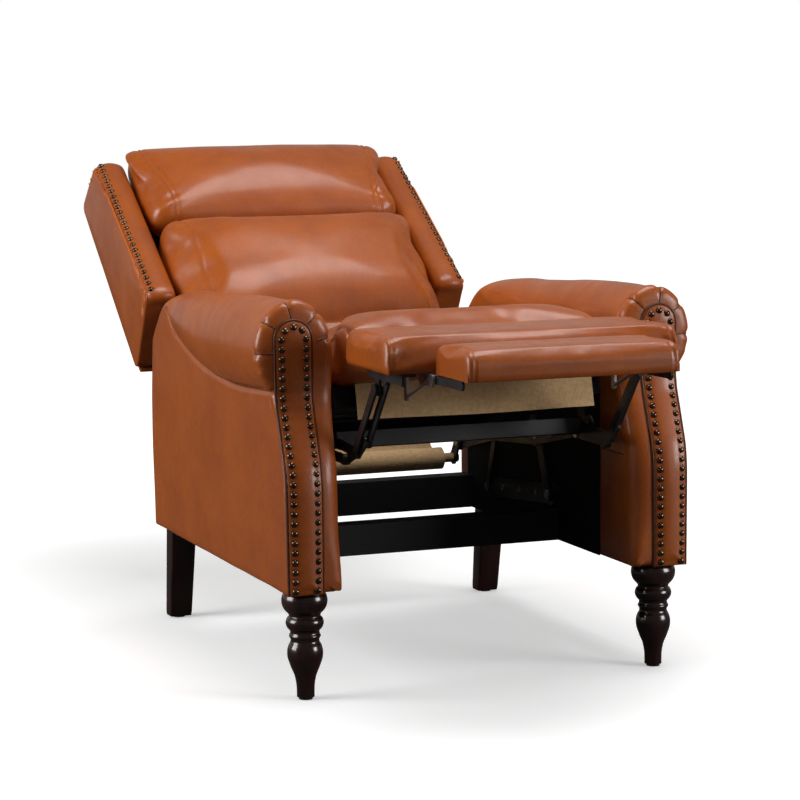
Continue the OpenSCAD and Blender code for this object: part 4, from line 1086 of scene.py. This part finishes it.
class RECLINER_OT_wings(Step, bpy.types.Operator):
    """Makes the two wings with their full front bands, piping and nails"""
    bl_idname = "recliner.wings"
    bl_label = "Make Wings"

    def make(self):
        rings, outline = wing_rings()
        tilt = math.radians(BACK_TILT)
        facing = (0.0, -math.sin(tilt), math.cos(tilt))
        rim = outline[outline[:, 1] > -60]
        rim = resampled(rim[np.argsort(np.arctan2(rim[:, 1] - 60, rim[:, 0] - 215))[::-1]], 140)
        for side in SIDES:
            name = side_name(side)
            soft = rings.copy()
            soft[..., 2] += wavy(soft, WING_WRINKLES["size"], 21 + side) * WING_WRINKLES["amount"]
            obj = add_loft("wing_skin_" + name, on_back(mirrored(soft, side)), "back", "Cognac leather", 50)
            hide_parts("wing_" + name)
            piping = on_back([(side * (WING_X[1] - 1.0), t, n + 0.6) for t, n in rim])
            add_tube("wing_piping_" + name, piping, PIPING_RADIUS, "back", "Piping leather")
            row = [(side * (WING_X[1] - WING_NAILS["inset"]), t, WING_NAILS["height"])
                   for t in np.linspace(*WING_NAILS["t"], 60)]
            add_nails("wing_nails_" + name, placed(on_back(row)), [facing] * len(row), "back",
                      settings().trim.wing_pitch)


# Seat and back cushions

# Rings: half width, half length, height, edge rounding, crown and squareness; base: height of the held part
SEAT = {"rings": (242.0, 296.0, 122.0, 46.0, 28.0, 12.0), "cap": 0.018, "voxel": 0.0085, "half_l": 300.0,
        "half_w": 247.5, "drop": 0.2, "stitches": 209.5, "channel": 214, "depth": 3.2,
        "place": (0.0, 162.0, 80.0)}
LUMBAR = {"rings": (243.0, 176.0, 97.0, 36.0, 26.0, 13.0), "cap": 0.018, "voxel": 0.0075, "half_l": 178.0,
          "half_w": 247.5, "flare": 6, "y": (-180, 182), "stitches": 200, "bow": 12, "depth": 2.6,
          "place": (0.0, 18.0, CUSHION_BACK)}
PILLOW = {"rings": (243.0, 114.0, 116.0, 44.0, 36.0, 11.0), "cap": 0.02, "voxel": 0.007, "half_w": 253.5,
          "y": (-119.5, 121), "spill": 0.075, "stitches": 203.5, "slant": 26, "depths": (2.4, 1.8),
          "place": (0.0, 322.0, CUSHION_BACK)}
CUSHION_BASE = 12
LOWEST = 0.3


def stitch_lines(obj, line, reach):
    """Stitch paths beside the two end seams on top of a cushion; line gives x for each y."""
    y = np.linspace(-reach, reach, 60)
    down = [(0.0, 0.0, -1.0)] * len(y)
    return [traced(obj, np.stack([side * line(y), y, np.full(len(y), 300.0)], -1), down) for side in SIDES]


class RECLINER_OT_seat_cushion(Step, bpy.types.Operator):
    """Makes the seat cushion as filled cloth with a stitched front"""
    bl_idname = "recliner.seat_cushion"
    bl_label = "Make Seat Cushion"

    def make(self):
        rings = cushion_rings(*SEAT["rings"])
        rings[..., 2] *= 1 - SEAT["drop"] * (1 + rings[..., 1] / SEAT["half_l"]) / 2
        obj = padded_piece("seat_cushion_leather", rings, SEAT["cap"], SEAT["voxel"], CUSHION_BASE,
                           self.shape)
        finish_padded(obj, self.place, "seat", "seat_cushion", "seat_stitches",
                      stitch_lines(obj, self.seam, 250.0))

    def shape(self, p, normals):
        p[:, 2] = np.maximum(p[:, 2], LOWEST)
        p[:, 0] = np.clip(p[:, 0], -SEAT["half_w"], SEAT["half_w"])
        channel = SEAT["depth"] * bump_at(np.abs(p[:, 0]), SEAT["channel"], 3.0) * (normals[:, 2] > 0.1)
        return p - normals * (channel + 0.5 * wavy(p, 60.0, 5))[:, None]

    def seam(self, y):
        return np.full(len(y), SEAT["stitches"])

    def place(self, p):
        return on_seat(p + np.array(SEAT["place"]))


class RECLINER_OT_back_cushions(Step, bpy.types.Operator):
    """Makes the lumbar cushion and the head pillow with their seams and puckers"""
    bl_idname = "recliner.back_cushions"
    bl_label = "Make Back Cushions"

    def make(self):
        lumbar = padded_piece("lumbar_leather", cushion_rings(*LUMBAR["rings"]), LUMBAR["cap"],
                              LUMBAR["voxel"], CUSHION_BASE, self.lumbar_shape)
        finish_padded(lumbar, self.lumbar_place, "back", "lumbar_cushion", "lumbar_stitches",
                      stitch_lines(lumbar, self.lumbar_seam, 140.0))
        pillow = padded_piece("head_pillow_leather", cushion_rings(*PILLOW["rings"]), PILLOW["cap"],
                              PILLOW["voxel"], CUSHION_BASE, self.pillow_shape)
        finish_padded(pillow, self.pillow_place, "back", "head_pillow", "pillow_stitches",
                      stitch_lines(pillow, self.pillow_seam, 92.0))

    def lumbar_shape(self, p, normals):
        p[:, 2] = np.maximum(p[:, 2], LOWEST)
        low_end = np.clip((-p[:, 1] - 22) / 105, 0, 1)
        p[:, 2] *= (1 + 0.2 * eased(p[:, 1], -90, 150)) * np.sqrt(1 - 0.72 * low_end ** 2)
        wide = LUMBAR["half_w"] + LUMBAR["flare"] * eased(p[:, 1], -10, 40)
        p[:, 0] = np.clip(p[:, 0] * wide / LUMBAR["rings"][0], -wide, wide)
        p[:, 1] = np.clip(p[:, 1], *LUMBAR["y"])
        top = eased(normals[:, 2], 0.0, 0.5)
        line = self.lumbar_seam(p[:, 1]) + 5
        channel = LUMBAR["depth"] * bump_at(np.abs(p[:, 0]), line, 2.6) * top
        pucker = 1.1 * np.sin(p[:, 1] / 3.3) * bump_at(np.abs(p[:, 0]), line + 8, 9.0) * top
        broad = 0.8 * wavy(p, 80.0, 11) + 0.12 * wavy(p, 18.0, 13)
        return p - normals * (channel + 0.35 * pucker - broad)[:, None]

    def lumbar_seam(self, y):
        return LUMBAR["stitches"] + LUMBAR["bow"] * (y / LUMBAR["half_l"]) ** 2

    def lumbar_place(self, p):
        return on_back(p + np.array(LUMBAR["place"]))

    def pillow_shape(self, p, normals):
        p[:, 2] = np.maximum(p[:, 2], LOWEST)
        wide = PILLOW["half_w"]
        spill = 1 + PILLOW["spill"] * eased(p[:, 1], -60, 90) * eased(p[:, 2], 54, 70)
        p[:, 0] = np.clip(p[:, 0] * wide / 246, -wide, wide) * spill
        p[:, 1] = np.clip(p[:, 1], *PILLOW["y"])
        top = eased(normals[:, 2], -0.1, 0.4)
        away = np.abs(p[:, 0]) - (self.pillow_seam(p[:, 1]) + 4.5)
        outer, inner = PILLOW["depths"]
        channel = (outer * bump_at(away, 0, 2.4) + inner * bump_at(away, -9, 2.2)) * top
        corner = bump_at(p[:, 1], -84, 46)
        pucker = np.sin(p[:, 1] / 4.2 + away / 14) * bump_at(away, 2, 20) * top * (0.5 + 2.4 * corner)
        broad = 0.8 * wavy(p, 85.0, 17) + 0.12 * wavy(p, 20.0, 19)
        return p - normals * (channel + 0.45 * pucker - broad)[:, None]

    def pillow_seam(self, y):
        return PILLOW["stitches"] + PILLOW["slant"] * eased(y, -100, 100)

    def pillow_place(self, p):
        return on_back(p + np.array(PILLOW["place"]))


# Footrest pads

PADS = {
    "main_pad": {"half_w": 243.0, "length": 188.0, "height": 58.0, "top_round": 26.0,
                 "place": (-485.0, 529.4), "body": "ottoman", "node": "ottoman_pad", "seed": 23},
    "front_pad": {"half_w": 171.0, "length": 135.0, "height": 48.0, "top_round": 22.0,
                  "place": (-658.0, 530.4), "body": "flipper", "node": "flipper_pad", "seed": 29},
}
PAD_CAP, PAD_VOXEL, PAD_BASE = 0.007, 0.0058, 6
PAD_BOTTOM_ROUND = 7.0
PAD_END = 5.5
PAD_CROWN = 2.0


def pad_rings(half_w, length, height, top_round):
    """A pad as sections across x, with rounded long edges and drawn-in ends."""
    half = length / 2
    corners = ((-half, 0.0), (half, 0.0), (half, height), (-half, height))
    radii = (PAD_BOTTOM_ROUND, PAD_BOTTOM_ROUND * 0.8, top_round * 0.9, top_round)
    section = resampled(rounded_outline(corners, radii, 14), 150, closed=True)
    normal = outline_normals(section)
    quarter = np.linspace(0, QUARTER_TURN, 8)
    ends = [(section - normal * PAD_END * (1 - math.sin(a)), half_w - PAD_END * (1 - math.cos(a)))
            for a in quarter]
    rings = [(at, -x) for at, x in ends]
    rings += [(section, x) for x in np.linspace(-half_w + PAD_END, half_w - PAD_END, 70)[1:-1]]
    rings += ends[::-1]
    made = []
    for at, x in rings:
        crown = PAD_CROWN * (1 - (x / half_w) ** 4) * eased(at[:, 1], height * 0.45, height)
        made.append(np.stack([np.full(len(at), x), at[:, 0], at[:, 1] + crown - PAD_CROWN], -1))
    made = np.array(made)
    made[..., 2] = np.maximum(made[..., 2], 0.0)
    return made


class RECLINER_OT_footrest_pads(Step, bpy.types.Operator):
    """Makes the two footrest pads with end seams and gathers"""
    bl_idname = "recliner.footrest_pads"
    bl_label = "Make Footrest Pads"

    def make(self):
        for name, pad in PADS.items():
            self.pad(name, **pad)

    def pad(self, name, half_w, length, height, top_round, place, body, node, seed):

        def shape(p, normals):
            p[:, 2] = np.maximum(p[:, 2], 0.0)
            p[:, 0] = np.clip(p[:, 0], -half_w, half_w)
            p[:, 1] = np.clip(p[:, 1], -length / 2, length / 2)
            p[:, 2] -= 0.75 * np.clip(p[:, 2] - (height - 2.0), 0, None)
            end = half_w - np.abs(p[:, 0])
            rim = 10 + 3.5 * eased(p[:, 2], height * 0.3, height)
            channel = 2.0 * bump_at(end, rim, 1.8) * eased(1 - np.abs(normals[:, 0]), 0.2, 0.7)
            turn_at = np.arctan2(p[:, 2] - height / 2, p[:, 1]) * 60
            gathers = (np.abs(np.sin(turn_at / 2.3)) * bump_at(end, rim + 7, 7.0)
                       * eased(p[:, 2], height * 0.35, height * 0.8))
            broad = 0.5 * wavy(p, 70.0, seed) + 0.15 * wavy(p, 14.0, seed + 1)
            broad = broad * eased(p[:, 2], 4, 20)
            return p - normals * (channel + 0.6 * gathers - broad)[:, None]

        def placing(p):
            return p + np.array([0.0, *place])

        rings = pad_rings(half_w, length, height, top_round)
        obj = padded_piece(name + "_leather", rings, PAD_CAP, PAD_VOXEL, PAD_BASE, shape, passes=10)
        turns = np.radians(np.linspace(-20, 200, 50))
        away = np.stack([np.zeros(50), np.cos(turns), np.sin(turns)], -1)
        middle, far = height / 2, 400
        inward = 15.0 + 3.5 * eased(middle + 22 * away[:, 2], height * 0.3, height)
        seams = []
        for side in SIDES:
            starts = np.stack([side * (half_w - inward), far * away[:, 1], middle + far * away[:, 2]], -1)
            seams.append(traced(obj, starts, -away))
        finish_padded(obj, placing, body, node, name + "_stitches", seams)


# Outside back, tail and cloths

BACK_LOW, BACK_TOP, BACK_LIP = np.array((-8.0, -169.0)), np.array((459.0, -128.0)), np.array((440.0, -64.0))
BACK_HALF_W, BACK_THICK, BACK_SWELL, BACK_EDGE = 305.0, 4.0, 7.0, 8
LIP_HALF_W = 255.0


class RECLINER_OT_outside_back(Step, bpy.types.Operator):
    """Makes the leather outside back with its soft face and edge piping"""
    bl_idname = "recliner.outside_back"
    bl_label = "Make Outside Back"

    def make(self):
        along = unit_between(BACK_LOW, BACK_TOP)
        out = np.array((along[1], -along[0]))
        self.panel(out)
        self.lip(out)
        for side in SIDES:
            edge = [(side * (BACK_HALF_W - 1.0), *(BACK_LOW + (BACK_TOP - BACK_LOW) * s + out * 3.0))
                    for s in np.linspace(0.01, 0.99, 50)]
            add_tube("outside_back_piping_" + side_name(side), on_back(edge), 2.2, "back", "Piping leather")

    def panel(self, out):
        back_side = [BACK_LOW + (BACK_TOP - BACK_LOW) * s
                     + out * (BACK_THICK + BACK_SWELL * math.sin(HALF_TURN * s) ** 0.5)
                     for s in np.linspace(0, 1, 60)]
        front_side = resampled([BACK_TOP + out * 0.3, BACK_LOW + out * 0.3], 40)
        section = np.vstack([back_side, front_side])
        swell = np.clip((section - BACK_LOW) @ out - BACK_THICK, 0, None)
        inner = BACK_HALF_W - BACK_EDGE
        ends = BACK_HALF_W - BACK_EDGE * (1 - np.cos(np.linspace(0, QUARTER_TURN, 6)))
        xs = np.concatenate([-ends, np.linspace(-inner, inner, 40)[1:-1], ends[::-1]])
        rings = np.array([at_x(x, section - out * (swell * min(1.0, (abs(x) / BACK_HALF_W) ** 10))[:, None])
                          for x in xs])
        outer_face = ((rings[..., 1:] - BACK_LOW) @ out) > BACK_THICK + 1
        rings[..., 2] -= wavy(rings, 110.0, 31) * 1.2 * outer_face
        obj = add_loft("outside_back_leather", on_back(rings), "back", "Cognac leather", 50)
        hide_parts("outside_back_panel")

    def lip(self, out):
        middle = BACK_TOP + (BACK_LIP - BACK_TOP) * 0.5 + np.array((3.0, 0.0))
        line = np.array([BACK_TOP + out * 2, middle, BACK_LIP])
        rolled = resampled(np.vstack([line, line[::-1] - np.array((4.5, 0.0))]), 40, closed=True)
        bar = np.array([at_x(x, rolled) for x in np.linspace(-LIP_HALF_W, LIP_HALF_W, 30)])
        add_loft("outside_back_lip", on_back(bar), "back", "Cognac leather", 50)


FRONT_CLOTH = {"half_w": 204.0, "low": 17.7, "high": 79.7, "thick": 1.2, "u": -92.4}
TAIL = {"half_w": 203.0, "bar": (-292.0, -183.5), "radius": 20.3, "top": (-8.3, -172.0), "thick": 2.6,
        "wrap": 0.9, "core_x": (-236.0, -206.0, 0.0, 206.0, 236.0), "core_radius": 8.8}


class RECLINER_OT_cloths(Step, bpy.types.Operator):
    """Makes the tan cloth under the seat front and round the lower bar of the back"""
    bl_idname = "recliner.cloths"
    bl_label = "Make Cloths"

    def make(self):
        self.front_cloth(**FRONT_CLOTH)
        self.tail_cloth(**TAIL)

    def front_cloth(self, half_w, low, high, thick, u):
        xs, ws = np.linspace(-half_w, half_w, 140), np.linspace(low, high, 24)
        grid = []
        for layer in (0.0, thick):
            for w in ws:
                hang = (high - w) / (high - low)
                sway = hang * (1.2 * np.sin(xs / 41.0 + 0.6) + 0.6 * np.sin(xs / 17.0 + 1.9))
                lift = hang * (3.0 + 2.0 * np.sin(HALF_TURN * xs / (2 * half_w)) ** 2)
                grid.append(np.stack([xs, np.full(len(xs), u + layer) + sway, w + lift], -1))
        half = len(ws)
        loop = np.array(grid[:half] + grid[half:][::-1])
        rows, columns = loop.shape[:2]
        faces = [(k * columns + i, k * columns + i + 1, (k + 1) % rows * columns + i + 1,
                  (k + 1) % rows * columns + i) for k in range(rows) for i in range(columns - 1)]
        for i in (0, columns - 1):
            end = [k * columns + i for k in range(rows)]
            faces += [(end[k], end[k + 1], end[rows - 2 - k], end[rows - 1 - k]) for k in range(half - 1)]
        obj = add_piece("seat_front_cloth_soft", on_seat(loop), faces, "seat", "Tan cloth", 60)
        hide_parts("seat_front_cloth")

    def tail_cloth(self, half_w, bar, radius, top, thick, wrap, core_x, core_radius):
        bar, top = np.array(bar), np.array(top)
        away = unit_between(bar, top)
        side_of = np.array((away[1], -away[0]))
        angle0 = math.atan2(side_of[1], side_of[0])
        loop = [bar + radius * np.array((math.cos(angle0 - a), math.sin(angle0 - a)))
                for a in np.linspace(0, FULL_TURN * wrap, 60)]
        run = resampled([bar + side_of * radius, top + side_of * 0.4], 60)[1:]
        outside = np.vstack([loop[::-1], run])
        direction = outward(outside, 1.0)
        inside = outside + direction * (-thick if direction[-1] @ side_of > 0 else thick)
        inside = np.array([p if np.linalg.norm(p - bar) > radius - thick - 0.1 else
                           bar + (p - bar) / np.linalg.norm(p - bar) * (radius - thick) for p in inside])
        section = np.vstack([outside, inside[::-1]])
        weight = bump_at((section - bar) @ away, 130, 80)
        rings = []
        for x in np.linspace(-half_w, half_w, 60):
            ripple = min(1.3 * math.sin(x / 23.0) + 0.8 * math.sin(x / 9.0 + 1.0), 0.9)
            rings.append(at_x(x, section + side_of * (ripple * weight)[:, None]))
        obj = add_loft("back_tail_cloth", on_back(rings), "back", "Tan cloth", 60)
        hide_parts("back_tail")
        core = on_back([(x, *bar) for x in core_x])
        add_tube("back_tail_bar", resampled(core, 24), core_radius, "back", "Plain wood", 24)


# Legs

TURNING_HEIGHTS = (0, 0.05, 0.14, 0.21, 0.3, 0.4, 0.49, 0.535, 0.55, 0.582, 0.61, 0.625, 0.66, 0.709, 0.75,
                   0.77, 0.785, 0.83, 0.915, 0.97, 1)
TURNING_RADII = (0.39, 0.39, 0.415, 0.485, 0.655, 0.785, 0.73, 0.63, 0.63, 0.7, 0.64, 0.64, 0.77, 0.835, 0.77,
                 0.69, 0.71, 0.89, 1.01, 0.95, 0.87)
LEG_LOW, LEG_HIGH = 3.0, 173.0
FRONT_LEG = {"place": (303.01, -361.0), "radius": 36.0}
REAR_LEG = {"x": 300.22, "y": 323.0, "rake": 28.0, "width": 46.0, "depth": 38.0, "taper": 0.86, "round": 3.0}


class RECLINER_OT_legs(Step, bpy.types.Operator):
    """Makes the turned front legs and the tapered rear legs"""
    bl_idname = "recliner.legs"
    bl_label = "Make Legs"

    def make(self):
        for side in SIDES:
            for kind, form, rings, angle in (("front", "turned", self.front(side), 35),
                                             ("rear", "tapered", self.rear(side), 30)):
                name = "%s_leg_%s_%s" % (kind, form, side_name(side))
                obj = add_loft(name, rings, "base", "Espresso wood", angle)
                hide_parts("%s_leg_%s" % (kind, side_name(side)))

    def front(self, side):
        (x, y), radius = FRONT_LEG["place"], FRONT_LEG["radius"]
        tall = LEG_HIGH - LEG_LOW
        heights = np.linspace(0, 1, 150)
        edge = [(radius * 0.34, LEG_LOW)]
        for h, r in zip(heights, curve_through(TURNING_HEIGHTS, TURNING_RADII, heights)):
            edge.append((radius * r, LEG_LOW + 1.0 * (h == 0) + tall * h * 0.999))
        edge.append((radius * TURNING_RADII[-1], LEG_HIGH))
        turns = np.linspace(0, FULL_TURN, 72, endpoint=False)
        return [[(side * x + r * math.cos(a), y + r * math.sin(a), z) for a in turns] for r, z in edge]

    def rear(self, side):
        leg = REAR_LEG
        rings = []
        for z in np.linspace(LEG_LOW, LEG_HIGH, 24):
            share = (z - LEG_LOW) / (LEG_HIGH - LEG_LOW)
            size = leg["taper"] + (1 - leg["taper"]) * share
            w, d = leg["width"] * size, leg["depth"] * size
            y = leg["y"] + leg["rake"] * (1 - share)
            corners = ((-w / 2, -d / 2), (w / 2, -d / 2), (w / 2, d / 2), (-w / 2, d / 2))
            shape = rounded_outline(corners, (leg["round"],) * 4, 5)
            if z < LEG_LOW + 1:
                shape = shape * 0.97
            rings.append([(side * leg["x"] + p[0], y + p[1], z) for p in shape])
        return rings


# Studio

# Place, target, size in metres, and the setting that holds the power
LIGHTS = {
    "Front softbox": ((2.6, -2.5, 1.05), (0.0, -0.1, 0.45), (1.4, 1.2), "key"),
    "Overhead softbox": ((0.35, -0.45, 2.85), (0.0, 0.0, 0.3), (2.0, 1.3), "top"),
    "Side softbox": ((-3.0, 0.1, 1.3), (0.0, 0.0, 0.45), (1.8, 1.6), "fill"),
}
CAMERA = {"azimuth": -20.9, "elevation": 7.0, "roll": -0.6, "distance": 4.727,
          "target": (-0.0089, -0.020, 0.420)}
FLOOR_HALF = 9000


def shade_floor(graph, where):
    """Pale to the camera and brighter with distance, darker for the light it throws back."""
    far = graph.add("ShaderNodeVectorMath", {0: where}, operation="LENGTH").outputs["Value"]
    seen = graph.add("ShaderNodeLightPath").outputs["Is Camera Ray"]
    pale = graph.mix(graph.noise(where, 3.0, 2.0), opaque((0.78,) * 3), opaque((0.8,) * 3))
    glow = graph.math("MULTIPLY", seen, graph.spread(far, 0.7, 2.2, 0.42, 1.0))
    return {"Base Color": graph.mix(seen, opaque((0.08,) * 3), pale), "Roughness": 0.9,
            "Specular IOR Level": 0.0, "Emission Color": opaque((1.0,) * 3), "Emission Strength": glow}


class RECLINER_OT_studio(Step, bpy.types.Operator):
    """Makes the pale floor, the soft lights and the camera at the photograph's angle"""
    bl_idname = "recliner.studio"
    bl_label = "Make Studio"

    def make(self):
        scene, look = bpy.context.scene, settings().studio
        new_material("Pale floor", (0.9, 0.9, 0.9), shade_floor)
        corners = [(x * FLOOR_HALF, y * FLOOR_HALF, 0) for x, y in ((-1, -1), (1, -1), (1, 1), (-1, 1))]
        add_mesh("floor", placed(corners), [(0, 1, 2, 3)], "Pale floor")
        for name, (where, target, size, power) in LIGHTS.items():
            self.light(name, where, target, size, getattr(look, power))
        self.camera(scene, look.lens)
        self.background(scene)
        scene.view_settings.view_transform = "Standard"

    def light(self, name, where, target, size, power):
        data = bpy.data.lights.new(name, "AREA")
        data.shape = "RECTANGLE"
        data.size, data.size_y = size
        data.energy = power
        obj = linked_object(name, data)
        obj.location = where
        obj.rotation_euler = (Vector(where) - Vector(target)).to_track_quat("Z", "Y").to_euler()

    def camera(self, scene, lens):
        data = bpy.data.cameras.new("Camera")
        data.lens = lens
        data.sensor_width = 36.0
        data.clip_end = 50.0
        camera = linked_object("Camera", data)
        a, e, r = (math.radians(CAMERA[key]) for key in ("azimuth", "elevation", "roll"))
        back = Vector((math.sin(a) * math.cos(e), -math.cos(a) * math.cos(e), math.sin(e)))
        side = Vector((math.cos(a), math.sin(a), 0.0))
        up = back.cross(side)
        side, up = side * math.cos(r) + up * math.sin(r), up * math.cos(r) - side * math.sin(r)
        x, y, z = CAMERA["target"]
        place = Vector((x, y + Y_SHIFT * MM, z)) + back * CAMERA["distance"]
        camera.matrix_world = Matrix(((side.x, up.x, back.x, place.x), (side.y, up.y, back.y, place.y),
                                      (side.z, up.z, back.z, place.z), (0, 0, 0, 1)))
        scene.camera = camera

    def background(self, scene):
        """White to the camera, and a soft light that grows towards the back of the room."""
        world = bpy.data.worlds.new("Studio")
        world.use_nodes = True
        scene.world = world
        graph = Graph(world.node_tree)
        seen = graph.add("ShaderNodeLightPath").outputs["Is Camera Ray"]
        white = graph.out("ShaderNodeBackground", {"Color": (1, 1, 1, 1), "Strength": 1.0})
        way = graph.add("ShaderNodeTexCoord").outputs["Generated"]
        behind = graph.spread(graph.add("ShaderNodeSeparateXYZ", {0: way}).outputs[1], 0.1, 0.9, 0.1, 0.34)
        soft = graph.out("ShaderNodeBackground", {"Color": (1, 0.985, 0.965, 1), "Strength": behind})
        both = graph.out("ShaderNodeMixShader", {0: seen, 1: soft, 2: white})
        graph.add("ShaderNodeOutputWorld", {0: both})


# Panel and registration

STEPS = (RECLINER_OT_materials, RECLINER_OT_arms, RECLINER_OT_panels, RECLINER_OT_wings,
         RECLINER_OT_seat_cushion, RECLINER_OT_back_cushions, RECLINER_OT_footrest_pads,
         RECLINER_OT_outside_back, RECLINER_OT_cloths, RECLINER_OT_legs, RECLINER_OT_studio)


class RECLINER_PT_looks(bpy.types.Panel):
    """Buttons and settings of the recliner's looks"""
    bl_label = "Recliner Looks"
    bl_idname = "RECLINER_PT_looks"
    bl_space_type = "VIEW_3D"
    bl_region_type = "UI"
    bl_category = "Recliner"

    def draw(self, context):
        looks = context.scene.recliner_looks
        for group in (looks.leather, looks.trim, looks.cushion, looks.studio):
            box = self.layout.box()
            for key in group.bl_rna.properties.keys():
                if key not in {"rna_type", "name"}:
                    box.prop(group, key)
        for step in STEPS:
            self.layout.operator(step.bl_idname)


CLASSES = (LeatherSettings, TrimSettings, CushionSettings, StudioSettings, ReclinerLooks, *STEPS,
           RECLINER_PT_looks)


def register():
    for cls in CLASSES:
        bpy.utils.register_class(cls)
    bpy.types.Scene.recliner_looks = PointerProperty(type=ReclinerLooks)


def unregister():
    del bpy.types.Scene.recliner_looks
    for cls in reversed(CLASSES):
        bpy.utils.unregister_class(cls)


def run(step):
    group, name = step.bl_idname.split(".")
    if getattr(getattr(bpy.ops, group), name)() != {"FINISHED"}:
        raise RuntimeError(step.bl_label + " did not finish")


def main():
    register()
    for step in STEPS:
        run(step)


if __name__ == "__main__":
    main()
